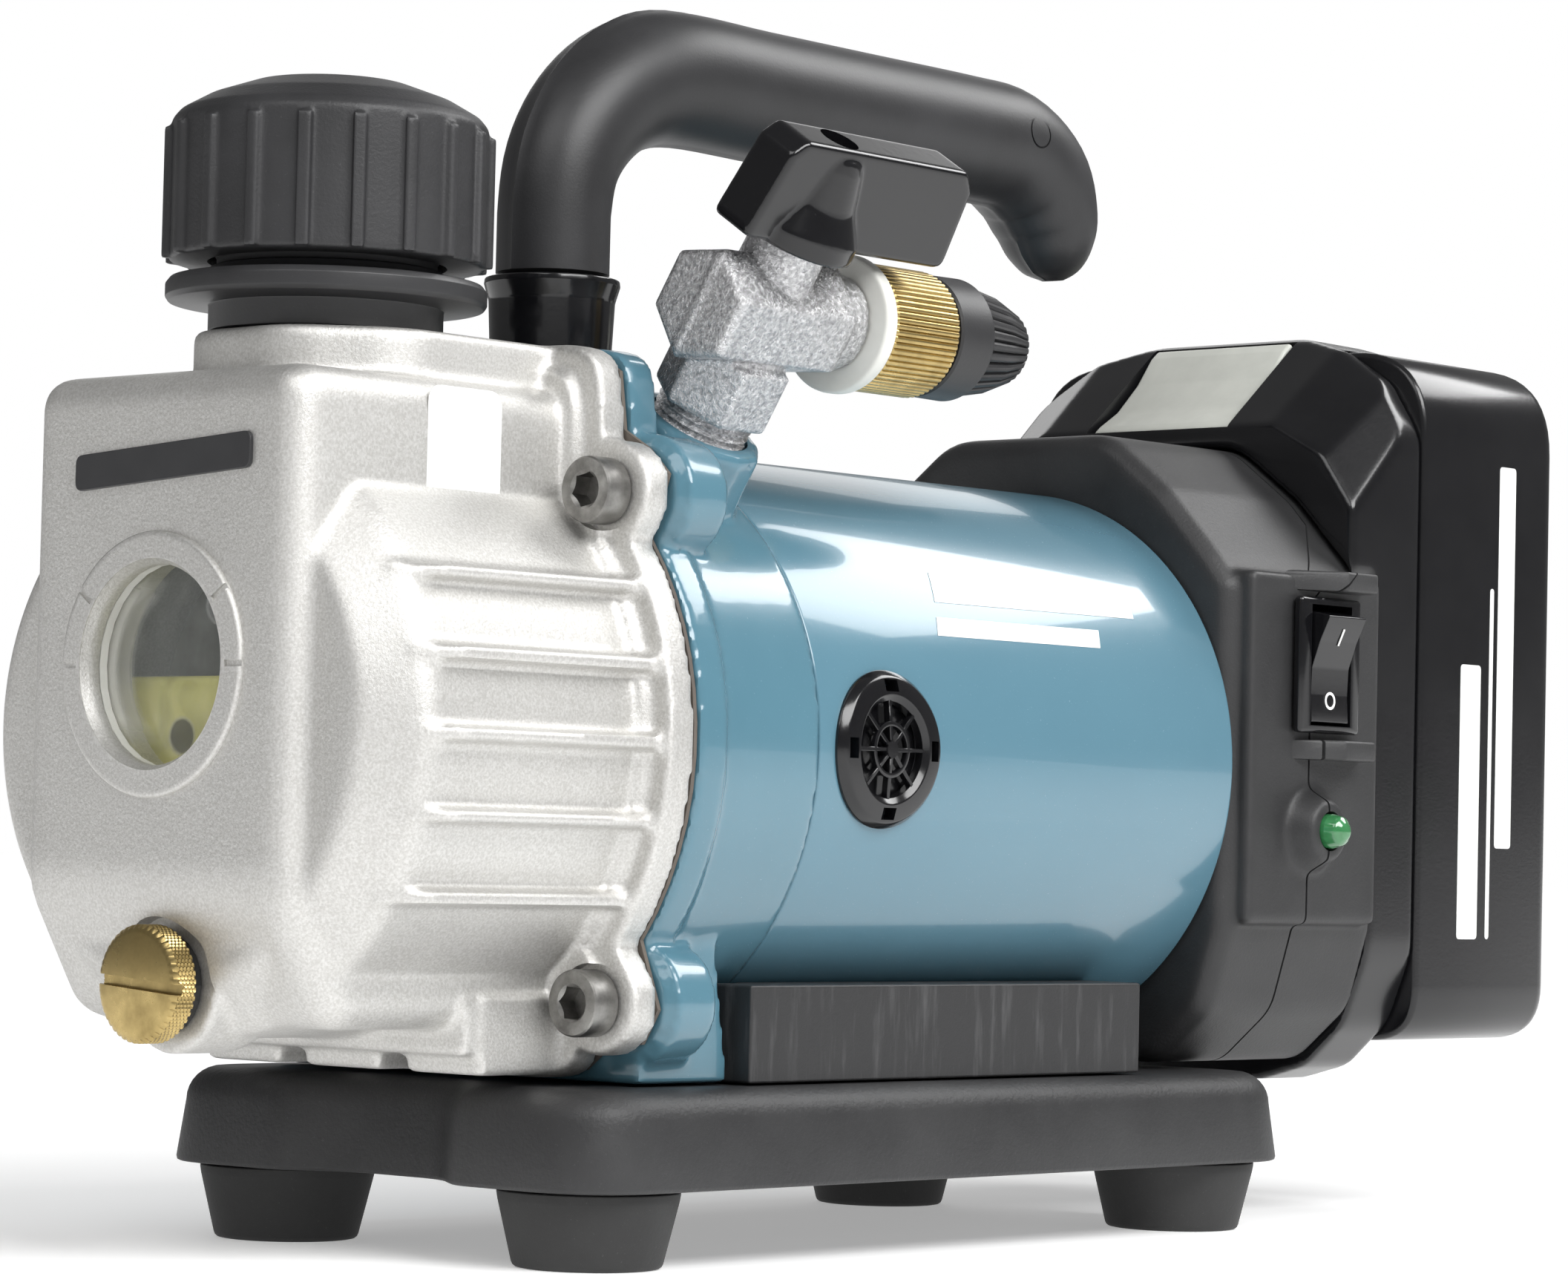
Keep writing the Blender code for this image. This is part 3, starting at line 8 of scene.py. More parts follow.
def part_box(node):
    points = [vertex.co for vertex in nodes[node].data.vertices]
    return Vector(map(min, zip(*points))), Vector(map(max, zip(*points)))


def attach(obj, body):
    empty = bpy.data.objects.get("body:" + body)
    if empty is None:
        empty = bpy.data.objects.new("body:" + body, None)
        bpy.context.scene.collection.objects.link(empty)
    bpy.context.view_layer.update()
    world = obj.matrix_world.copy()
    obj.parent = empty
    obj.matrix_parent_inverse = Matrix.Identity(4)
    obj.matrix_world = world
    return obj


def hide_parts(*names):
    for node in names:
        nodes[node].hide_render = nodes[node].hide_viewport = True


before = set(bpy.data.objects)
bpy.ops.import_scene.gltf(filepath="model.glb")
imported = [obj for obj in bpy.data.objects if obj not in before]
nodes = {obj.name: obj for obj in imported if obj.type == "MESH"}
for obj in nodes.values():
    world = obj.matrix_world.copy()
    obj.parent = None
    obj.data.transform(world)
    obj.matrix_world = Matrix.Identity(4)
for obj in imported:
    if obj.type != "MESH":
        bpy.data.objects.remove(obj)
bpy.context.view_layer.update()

# the pump is laid out from the middle of its four feet, and moved home when a piece is made
feetNodes = ["foot_front_left", "foot_front_right", "foot_rear_left", "foot_rear_right"]
feetBoxes = [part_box(name) for name in feetNodes]
middle = sum(((low + high) / 2 for low, high in feetBoxes), Vector()) / 4
middle.z = 0
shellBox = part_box("motor_shell")
axisHeight = (shellBox[0].z + shellBox[1].z) / 2


def shift(x, y, z):
    return Matrix.Translation((x, y, z))


def spin(angle, axis):
    return Matrix.Rotation(angle, 4, axis)


home = Matrix.Translation(middle)
sightHeight = 0.0739
axle = shift(0, 0, axisHeight) @ spin(pi / 2, "Y")


def alongX(y, z):
    return shift(0, y, z) @ spin(pi / 2, "Y")


def outOfSide(x, z):
    return shift(x, 0, z) @ spin(pi / 2, "X")


# shapes
def turned(profile, steps=72, closed=False):
    bm = bmesh.new()
    points = [bm.verts.new((radius, 0, height)) for radius, height in profile]
    edges = [bm.edges.new(pair) for pair in zip(points, points[1:])]
    if closed:
        edges.append(bm.edges.new((points[-1], points[0])))
    bmesh.ops.spin(bm, geom=points + edges, cent=(0, 0, 0), axis=(0, 0, 1), angle=2 * pi, steps=steps,
                   use_merge=True)
    bmesh.ops.remove_doubles(bm, verts=bm.verts, dist=1e-7)
    bmesh.ops.recalc_face_normals(bm, faces=bm.faces)
    return bm


def rod(radius, low, high, steps=48):
    return turned([(0, low), (radius, low), (radius, high), (0, high)], steps)


def eased(points, radius, steps=4, closed=True):
    # every corner of the outline is drawn round; radius is one number or one for each corner
    result = []
    for index, point in enumerate(points):
        ends = not closed and index in (0, len(points) - 1)
        wanted = radius[index] if isinstance(radius, (list, tuple)) else radius
        here = Vector(point)
        if ends or wanted == 0:
            result.append(tuple(here))
            continue
        back = Vector(points[index - 1]) - here
        ahead = Vector(points[(index + 1) % len(points)]) - here
        half = back.angle(ahead) / 2
        reach = min(wanted / tan(half), back.length * 0.49, ahead.length * 0.49)
        start = here + back.normalized() * reach
        end = here + ahead.normalized() * reach
        for step in range(steps + 1):
            t = step / steps
            result.append(tuple(start * (1 - t) ** 2 + here * 2 * t * (1 - t) + end * t * t))
    return result


def plate(outline, low, high, axis="Z"):
    turn = {"Z": lambda a, b, h: (a, b, h), "X": lambda a, b, h: (h, a, b), "Y": lambda a, b,
            h: (a, h, b)}[axis]
    bm = bmesh.new()
    face = bm.faces.new([bm.verts.new(turn(a, b, low)) for a, b in outline])
    grown = bmesh.ops.extrude_face_region(bm, geom=[face])["geom"]
    bmesh.ops.translate(bm, vec=Vector(turn(0, 0, high - low)),
                        verts=[v for v in grown if isinstance(v, bmesh.types.BMVert)])
    bmesh.ops.recalc_face_normals(bm, faces=bm.faces)
    return bm


def crate(x, y, z):
    bm = bmesh.new()
    bmesh.ops.create_cube(bm, size=1)
    bmesh.ops.scale(bm, vec=(x[1] - x[0], y[1] - y[0], z[1] - z[0]), verts=bm.verts)
    bmesh.ops.translate(bm, vec=((x[0] + x[1]) / 2, (y[0] + y[1]) / 2, (z[0] + z[1]) / 2), verts=bm.verts)
    return bm


def placed(bm, matrix):
    bmesh.ops.transform(bm, matrix=matrix, verts=bm.verts)
    return bm


def bevelled(bm, width, chosen, segments=4):
    edges = [edge for edge in bm.edges if chosen(edge)]
    bmesh.ops.bevel(bm, geom=edges, offset=width, offset_type="OFFSET", segments=segments, profile=0.5,
                    affect="EDGES", clamp_overlap=True, material=-1)
    return bm


def level(axis, value):
    return lambda edge: all(abs(vert.co[axis] - value) < 1e-5 for vert in edge.verts)


def sharper(angle):
    return lambda edge: len(edge.link_faces) == 2 and edge.calc_face_angle() > radians(angle)


def box2(halfA, halfB, centre=(0, 0)):
    return [(centre[0] + a * halfA, centre[1] + b * halfB) for a, b in ((-1, -1), (1, -1), (1, 1), (-1, 1))]


def sixSided(radius, turn=0.0):
    return [(radius * cos(pi / 3 * k + turn), radius * sin(pi / 3 * k + turn)) for k in range(6)]


def mirrored(half):
    return half + [(-y, z) for y, z in reversed(half) if abs(y) > 1e-9]


def fluted(sections, count, steps=4):
    # loops of points round Z; each section is (height, radius, flute depth, turn in flutes)
    bm = bmesh.new()
    before = None
    for height, radius, depth, turn in sections:
        loop = bmesh.ops.create_circle(bm, cap_ends=False, radius=1, segments=count * steps)["verts"]
        for vert in loop:
            angle = atan2(vert.co.y, vert.co.x)
            wave = abs(sin((angle * count + turn * 2 * pi) / 2))
            vert.co = Vector((cos(angle), sin(angle), 0)) * (radius - depth * (1 - wave) ** 2) + Vector((0, 0,
                    height))
        edges = list({edge for vert in loop for edge in vert.link_edges})
        if before:
            bmesh.ops.bridge_loops(bm, edges=before + edges)
        before = edges
    bmesh.ops.holes_fill(bm, edges=bm.edges, sides=0)
    bmesh.ops.recalc_face_normals(bm, faces=bm.faces)
    return bm


def gathered(shapes):
    whole = bmesh.new()
    for shape in shapes:
        mesh = bpy.data.meshes.new("part")
        shape.to_mesh(mesh)
        shape.free()
        whole.from_mesh(mesh)
        bpy.data.meshes.remove(mesh)
    return whole


def loose(bm, name="work"):
    mesh = bpy.data.meshes.new(name)
    bm.to_mesh(mesh)
    bm.free()
    obj = bpy.data.objects.new(name, mesh)
    bpy.context.scene.collection.objects.link(obj)
    return obj


def applied(obj):
    graph = bpy.context.evaluated_depsgraph_get()
    fresh = bpy.data.meshes.new_from_object(obj.evaluated_get(graph))
    old = obj.data
    obj.modifiers.clear()
    obj.data = fresh
    bpy.data.meshes.remove(old)
    return obj


def combined(obj, tool, operation="DIFFERENCE", own=False):
    toolObj = loose(tool, "tool")
    modifier = obj.modifiers.new("combine", "BOOLEAN")
    modifier.operation = operation
    modifier.solver = "EXACT"
    modifier.use_self = own
    modifier.object = toolObj
    bpy.context.view_layer.update()
    applied(obj)
    bpy.data.objects.remove(toolObj)
    return obj


def melted(shapes, voxel, rounds=6):
    # shapes that overlap become one skin, with its inner corners filled and its outer ones worn round
    obj = shapes if isinstance(shapes, bpy.types.Object) else loose(gathered(shapes))
    skin = obj.modifiers.new("skin", "REMESH")
    skin.mode = "VOXEL"
    skin.voxel_size = voxel
    soft = obj.modifiers.new("soft", "SMOOTH")
    soft.factor = 0.5
    soft.iterations = rounds
    bpy.context.view_layer.update()
    return applied(obj)


def make(name, shape, material, body="pump", stands=(), angle=32, edge=0, edgeSteps=3):
    obj = shape if isinstance(shape, bpy.types.Object) else loose(shape)
    obj.name = name
    obj.data.name = name
    obj.data.transform(home)
    obj.data.shade_smooth()
    obj.data.set_sharp_from_angle(angle=radians(angle))
    obj.data.materials.clear()
    obj.data.materials.append(material)
    if edge:
        bevel = obj.modifiers.new("edge", "BEVEL")
        bevel.width = edge
        bevel.segments = edgeSteps
        bevel.limit_method = "ANGLE"
        bevel.angle_limit = radians(angle)
        bevel.harden_normals = True
    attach(obj, body)
    if stands:
        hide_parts(*stands)
    return obj


# finishes
class Value:
    def __init__(self, finish, socket):
        self.finish = finish
        self.socket = socket

    def math(self, operation, first, second):
        return self.finish.add("ShaderNodeMath", {"operation": operation}, {0: first, 1: second})

    def __add__(self, other):
        return self.math("ADD", self, other)

    def __radd__(self, other):
        return self.math("ADD", other, self)

    def __sub__(self, other):
        return self.math("SUBTRACT", self, other)

    def __rsub__(self, other):
        return self.math("SUBTRACT", other, self)

    def __mul__(self, other):
        return self.math("MULTIPLY", self, other)

    def __rmul__(self, other):
        return self.math("MULTIPLY", other, self)

    def __pow__(self, other):
        return self.math("POWER", self, other)


class Finish:
    def __init__(self, name, **fixed):
        self.material = bpy.data.materials.new(name)
        self.material.use_nodes = True
        self.tree = self.material.node_tree
        self.shader = self.tree.nodes["Principled BSDF"]
        for socket, number in fixed.items():
            self.shader.inputs[socket.replace("_", " ")].default_value = number
        self.place = self.add("ShaderNodeTexCoord", out="Object")

    def add(self, kind, settings=None, sockets=None, out=0):
        node = self.tree.nodes.new(kind)
        for key, setting in (settings or {}).items():
            setattr(node, key, setting)
        for key, given in (sockets or {}).items():
            if isinstance(given, Value):
                self.tree.links.new(given.socket, node.inputs[key])
            else:
                node.inputs[key].default_value = given
        return Value(self, node.outputs[out])

    def noise(self, scale, detail=3.0, rough=0.5, place=None, warp=0.0):
        return self.add("ShaderNodeTexNoise", None, {"Vector": place or self.place, "Scale": scale,
                "Detail": detail,
                                                     "Roughness": rough, "Distortion": warp}, "Fac")

    def stretched(self, scale, turn=(0, 0, 0)):
        return self.add("ShaderNodeMapping", None, {"Vector": self.place, "Scale": scale, "Rotation": turn},
                        "Vector")

    def level(self, value, low, high, toLow=0.0, toHigh=1.0):
        return self.add("ShaderNodeMapRange", {"clamp": True},
                        {"Value": value, "From Min": low, "From Max": high,
                                                                "To Min": toLow, "To Max": toHigh}, "Result")

    def near(self, spot, far, close):
        # 1 within the close distance of a line along X through the spot, 0 beyond the far one
        across = self.add("ShaderNodeVectorMath", {"operation": "MULTIPLY"}, {0: self.place, 1: (0, 1, 1)},
                          "Vector")
        span = self.add("ShaderNodeVectorMath", {"operation": "DISTANCE"}, {0: across, 1: spot}, "Value")
        return self.level(span, far, close)

    def blend(self, amount, first, second):
        sockets = {0: amount, 6: first if isinstance(first, Value) else (*first, 1),
                   7: second if isinstance(second, Value) else (*second, 1)}
        return self.add("ShaderNodeMix", {"data_type": "RGBA"}, sockets, 2)

    def edges(self, low=0.52, high=0.6):
        return self.level(self.add("ShaderNodeNewGeometry", out="Pointiness"), low, high)

    def bump(self, height, strength, distance, under=None):
        sockets = {"Height": height, "Strength": strength, "Distance": distance}
        if under:
            sockets["Normal"] = under
        return self.add("ShaderNodeBump", None, sockets, "Normal")

    def wire(self, **links):
        for socket, given in links.items():
            self.tree.links.new(given.socket, self.shader.inputs[socket.replace("_", " ")])
        return self.material


def castSilver():
    f = Finish("castSilver", Metallic=0.82, Specular_IOR_Level=0.5)
    broad = f.noise(45, 5, 0.6)
    grain = f.noise(1900, 4, 0.75)
    speck = f.level(f.noise(2900, 3, 0.6), 0.38, 0.66)
    color = f.blend(broad, (0.52, 0.51, 0.488), (0.64, 0.63, 0.605))
    color = f.blend(speck * 0.55, color, (0.84, 0.835, 0.82))
    color = f.blend(f.edges(0.53, 0.62) * 0.5, color, (0.8, 0.79, 0.77))
    rough = 0.4 + broad * 0.12 + grain * 0.08
    return f.wire(Base_Color=color, Roughness=rough, Normal=f.bump(grain, 0.42, 0.00018,
            f.bump(broad, 0.05, 0.0006)))


def machined(name, color, dark, rough, metallic=1.0, lines=1400):
    f = Finish(name, Metallic=metallic)
    rings = f.noise(lines, 2, 0.6, f.stretched((1, 0.05, 0.05)))
    dirt = f.noise(260, 5, 0.65)
    fine = f.noise(3000, 3, 0.6)
    tone = f.blend(f.level(dirt, 0.35, 0.75), color, dark)
    return f.wire(Base_Color=tone, Roughness=rough + dirt * 0.16 + fine * 0.06,
                  Normal=f.bump(rings, 0.18, 0.00008, f.bump(fine, 0.12, 0.00005)))


def paint(name, color, deep, worn=None):
    f = Finish(name, Roughness=0.22, Coat_Weight=0.55, Coat_Roughness=0.05, Specular_IOR_Level=0.5)
    broad = f.noise(38, 4, 0.55)
    peel = f.noise(700, 2, 0.5)
    dust = f.level(f.noise(4200, 2, 0.5), 0.7, 0.8)
    tone = f.blend(broad, deep, color)
    tone = f.blend(dust * 0.18, tone, (0.3, 0.42, 0.46))
    if worn:
        tone = f.blend(f.edges(0.6, 0.72) * 0.6, tone, worn)
    return f.wire(Base_Color=tone, Roughness=0.17 + broad * 0.08 + dust * 0.2, Normal=f.bump(peel, 0.1, 0.0001))


def plastic(name, dark, light, rough, grain, depth, coat=0.0, wear=0.0, dust=0.0, spread=0.1):
    f = Finish(name, Specular_IOR_Level=0.5, Coat_Weight=coat, Coat_Roughness=0.08)
    broad = f.noise(55, 5, 0.6)
    fine = f.noise(grain, 3, 0.65)
    tone = f.blend(f.level(broad, 0.3, 0.7), dark, light)
    if wear:
        tone = f.blend(f.edges(0.52, 0.6) * wear, tone, tuple(min(1, part * 3 + 0.03) for part in light))
    if dust:
        motes = f.level(f.noise(3100, 2, 0.5), 0.68, 0.78)
        tone = f.blend(motes * dust, tone, (0.16, 0.16, 0.16))
    return f.wire(Base_Color=tone, Roughness=rough - spread / 2 + broad * spread + fine * 0.05,
                  Normal=f.bump(fine, 0.35, depth))


def scuffed():
    f = Finish("scuffedBlack", Specular_IOR_Level=0.5)
    marks = f.level(f.noise(420, 4, 0.7, f.stretched((1, 1, 0.1))), 0.52, 0.72)
    blotch = f.noise(120, 5, 0.6)
    fine = f.noise(2200, 3, 0.7)
    tone = f.blend(marks * blotch, (0.022, 0.022, 0.023), (0.11, 0.11, 0.112))
    return f.wire(Base_Color=tone, Roughness=0.42 + marks * 0.2 + blotch * 0.1,
                  Normal=f.bump(fine, 0.4, 0.0001, f.bump(marks, 0.2, 0.0001)))


def nickelCast():
    f = Finish("nickelCast", Metallic=1.0)
    lumps = f.noise(1500, 5, 0.75, None, 0.3)
    fine = f.noise(4200, 3, 0.7)
    tone = f.blend(f.level(lumps, 0.35, 0.65), (0.38, 0.38, 0.39), (0.88, 0.88, 0.89))
    return f.wire(Base_Color=tone, Roughness=0.15 + lumps * 0.2,
                  Normal=f.bump(lumps, 0.95, 0.00032, f.bump(fine, 0.3, 0.00006)))


def brassFinish():
    f = Finish("turnedBrass", Metallic=1.0)
    rings = f.noise(1500, 2, 0.6, f.stretched((1, 0.06, 0.06)))
    tarnish = f.level(f.noise(170, 5, 0.65), 0.35, 0.75)
    tone = f.blend(tarnish, (0.58, 0.44, 0.19), (0.34, 0.25, 0.1))
    return f.wire(Base_Color=tone, Roughness=0.24 + tarnish * 0.2,
                  Normal=f.bump(rings, 0.25, 0.00008, f.bump(f.noise(2600), 0.12, 0.00005)))


def clearGlass():
    f = Finish("clearGlass", Transmission_Weight=0.0, IOR=1.5, Coat_Weight=1.0, Coat_Roughness=0.02)
    haze = f.noise(300, 3, 0.5)
    height = sightHeight
    # painted shade: two dark spots on the rear face of the lens; painted reflection: a pale arc near its rim
    tint, cover = f.blend(haze, (0.55, 0.58, 0.55), (0.7, 0.72, 0.68)), 0.08 + haze * 0.08
    deep = f.level(f.add("ShaderNodeSeparateXYZ", None, {0: f.place}, "X"), middle.x - 0.1072,
                   middle.x - 0.1062)
    # painted shade: dark spots on the lens's rear face
    for y, z, size in ((-0.0052, 0.0076, 0.0028), (0.0012, -0.0086, 0.0026)):
        spot = f.near((0, middle.y + y, height + z), size, size * 0.75) * deep
        tint, cover = f.blend(spot, tint, (0.012, 0.012, 0.012)), cover + spot * 0.75
    # painted reflection: a pale arc near the rim of the lens
    arc = f.near((0, middle.y, height), 0.0101, 0.0115) * f.near((0, middle.y + 0.01, height + 0.001), 0.0115,
            0.0075)
    return f.wire(Base_Color=f.blend(arc, tint, (0.8, 0.8, 0.76)), Roughness=0.03 + haze * 0.04,
                  Alpha=cover + arc * 0.35)


def oilWithPaintedGlow():
    # painted light: the oil's own colour is also sent out as a faint glow
    f = Finish("pumpOil", Roughness=0.08, Coat_Weight=0.8, Emission_Strength=0.16)
    swirl = f.noise(150, 3, 0.5, None, 0.8)
    tone = f.blend(f.level(swirl, 0.3, 0.7), (0.36, 0.34, 0.05), (0.62, 0.58, 0.16))
    return f.wire(Base_Color=tone, Emission_Color=tone, Roughness=0.06 + swirl * 0.06)


def milky(name, color, shade, rough=0.35, soft=0.35):
    f = Finish(name, Subsurface_Weight=soft, Subsurface_Radius=(0.003, 0.003, 0.003), Coat_Weight=0.15)
    cloud = f.noise(220, 4, 0.6)
    return f.wire(Base_Color=f.blend(cloud, color, shade), Roughness=rough + cloud * 0.12,
                  Normal=f.bump(f.noise(2400), 0.15, 0.00005))


def lensGreenPaintedGlow():
    # painted light: the lens's own green is also sent out as a faint glow, though the switch is off
    f = Finish("greenLens", Roughness=0.1, Coat_Weight=1.0, Coat_Roughness=0.02, Emission_Strength=0.04)
    glow = f.noise(500, 2, 0.5)
    tone = f.blend(glow, (0.02, 0.12, 0.035), (0.06, 0.3, 0.11))
    return f.wire(Base_Color=tone, Emission_Color=tone, Roughness=0.08 + glow * 0.1)


def printed(name, color, shade):
    f = Finish(name)
    patch = f.noise(240, 4, 0.6)
    return f.wire(Base_Color=f.blend(patch, color, shade), Roughness=0.36 + patch * 0.14,
                  Normal=f.bump(f.noise(2000), 0.08, 0.00004))


def felt():
    f = Finish("filterFelt", Sheen_Weight=0.4)
    fibre = f.noise(1800, 5, 0.75, f.stretched((1, 1, 0.3)))
    return f.wire(Base_Color=f.blend(fibre, (0.42, 0.4, 0.33), (0.66, 0.63, 0.55)),
                  Roughness=0.85 + fibre * 0.1,
                  Normal=f.bump(fibre, 0.6, 0.0003))


silver = castSilver()
teal = paint("tealPaint", (0.1, 0.222, 0.285), (0.075, 0.178, 0.236), (0.3, 0.32, 0.32))
tubeTeal = paint("tubeTealPaint", (0.106, 0.226, 0.292), (0.092, 0.2, 0.264))
brass = brassFinish()
nickel = nickelCast()
steel = machined("groundSteel", (0.52, 0.52, 0.52), (0.3, 0.3, 0.3), 0.25)
screwSteel = machined("screwSteel", (0.33, 0.325, 0.31), (0.12, 0.115, 0.11), 0.3)
iron = machined("machinedIron", (0.2, 0.2, 0.21), (0.1, 0.1, 0.1), 0.4, 0.9)
copper = machined("lacqueredCopper", (0.48, 0.2, 0.08), (0.25, 0.1, 0.05), 0.3)
ferrite = machined("ferrite", (0.09, 0.09, 0.1), (0.05, 0.05, 0.05), 0.6, 0.2)
textured = plastic("texturedBlack", (0.013, 0.013, 0.014), (0.028, 0.028, 0.029), 0.48, 1500, 0.00028,
                   wear=0.25,
                   dust=0.25)
capBlack = plastic("capBlack", (0.016, 0.016, 0.017), (0.029, 0.029, 0.031), 0.44, 2300, 0.00016, wear=0.2,
                   dust=0.2)
satin = plastic("satinBlack", (0.018, 0.018, 0.019), (0.029, 0.029, 0.031), 0.4, 2600, 0.00005, dust=0.1)
housingBlack = plastic("housingBlack", (0.016, 0.016, 0.017), (0.031, 0.031, 0.032), 0.46, 2400, 0.00014,
                       wear=0.12,
                       dust=0.15)
gloss = plastic("glossBlack", (0.004, 0.004, 0.005), (0.007, 0.007, 0.008), 0.14, 900, 0.00002, 0.15, dust=0.08,
                spread=0.05)
batteryBlack = plastic("batteryBlack", (0.004, 0.004, 0.005), (0.008, 0.008, 0.009), 0.19, 1800, 0.00003, 0.1,
                       dust=0.06, spread=0.06)
rubber = plastic("footRubber", (0.016, 0.016, 0.016), (0.03, 0.03, 0.03), 0.62, 1700, 0.00012, wear=0.1,
                 dust=0.2)
sealRubber = plastic("sealRubber", (0.01, 0.01, 0.01), (0.018, 0.018, 0.018), 0.55, 1700, 0.00005)
carbon = plastic("sinteredCarbon", (0.03, 0.03, 0.03), (0.055, 0.055, 0.055), 0.5, 2600, 0.00005)
cellWrap = plastic("cellWrap", (0.03, 0.06, 0.12), (0.05, 0.1, 0.18), 0.3, 900, 0.00003)
cradleBlack = scuffed()
glass = clearGlass()
oil = oilWithPaintedGlow()
ptfe = milky("whiteWasher", (0.8, 0.8, 0.76), (0.66, 0.66, 0.62))
offWhite = milky("offWhiteButton", (0.62, 0.63, 0.58), (0.5, 0.51, 0.47), 0.38, 0.1)
greenLens = lensGreenPaintedGlow()
whitePrint = printed("whitePrint", (0.86, 0.86, 0.85), (0.78, 0.78, 0.77))
darkPrint = printed("darkEnamel", (0.02, 0.02, 0.022), (0.035, 0.035, 0.037))
paper = plastic("gasketPaper", (0.09, 0.075, 0.065), (0.14, 0.12, 0.1), 0.8, 1600, 0.0001)
feltFinish = felt()
print("finishes made")


# base, cradle and feet
base = {"footX": 0.0612, "footY": 0.0277, "footLow": 0.00945, "footTop": 0.0119, "footTall": 0.0097,
        "pod": 0.0136, "low": 0.01, "top": 0.0227, "waist": 0.0685, "waistY": 0.008, "podY": 0.0165,
        "edge": 0.0046, "draft": 0.0009}
saddle = {"radius": 0.0405, "halfWide": 0.036, "low": 0.023, "top": 0.0356, "front": -0.0406, "rear": 0.0418,
          "arc": 40.3}


def makeFeet():
    tall = base["footTall"]
    profile = [(0, 0.0035), (0.003, 0.0035), (0.0033, 0), (base["footLow"], 0),
               (base["footTop"] - 0.0004, tall - 0.0012), (base["footTop"] - 0.0002, tall), (0, tall)]
    profile = eased(profile, [0, 0.0004, 0.0004, 0.0009, 0.0006, 0.0003, 0], 3, closed=False)
    for name, x, y in (("foot_front_left", -1, -1), ("foot_front_right", -1, 1),
                       ("foot_rear_left", 1, -1), ("foot_rear_right", 1, 1)):
        foot = placed(turned(profile, 72), shift(x * base["footX"], y * base["footY"], 0))
        make("rubber_" + name, foot, rubber, stands=[name])


def makeBase():
    end, side = base["footX"] + base["pod"], base["footY"] + base["pod"]
    quarter = [((end, side), base["pod"]), ((end, base["podY"]), 0.009),
               ((base["waist"], base["waistY"]), 0.012)]
    half = quarter + [((x, -y), radius) for (x, y), radius in reversed(quarter)]
    whole = half + [((-x, -y), radius) for (x, y), radius in half]
    outline = eased([point for point, radius in whole], [radius for point, radius in whole], 12)
    slab = plate(outline, base["low"], base["top"])
    for vert in slab.verts:
        if vert.co.z > base["top"] - 0.001:
            vert.co.x -= base["draft"] * vert.co.x / end
            vert.co.y -= base["draft"] * vert.co.y / side
    bevelled(slab, base["edge"], level(2, base["top"]), 8)
    bevelled(slab, 0.0006, level(2, base["low"]), 2)
    make("base_plate", slab, textured, stands=["base_frame"], angle=50)
    # the cradle is a block under the tube, hollowed along its top to the tube's radius
    wide, low, top = saddle["halfWide"], saddle["low"], saddle["top"]
    turns = [radians(saddle["arc"]) * (1 - step / 16) for step in range(33)]
    arc = [(saddle["radius"] * sin(turn), axisHeight - saddle["radius"] * cos(turn)) for turn in turns]
    block = plate([(-wide, low), (wide, low), (wide, top)] + arc + [(-wide, top)], saddle["front"],
                  saddle["rear"], "X")
    cradle = combined(loose(block), placed(rod(0.042, -0.0506, -0.0332, 96), axle))
    make("motor_saddle", cradle, cradleBlack, stands=["motor_cradle"], edge=0.0005,
         edgeSteps=2)


# motor tube and its vent
tube = {"radius": 0.0402, "wall": 0.0018, "front": -0.0332, "rear": 0.0572, "ventX": -0.0197, "ventHole": 0.009,
        "ventRim": 0.0105, "stripeX": 0.0185, "stripeUp": 0.0201, "stripeLean": 0.35}


def bent(obj, x, z):
    # a flat pattern in (along, around, out) is wrapped on the tube
    for vert in obj.data.vertices:
        along, around, out = vert.co
        turn = around / tube["radius"]
        reach = tube["radius"] + out
        vert.co = (x + along, -reach * cos(turn), z + reach * sin(turn))
    obj.data.update()
    return obj


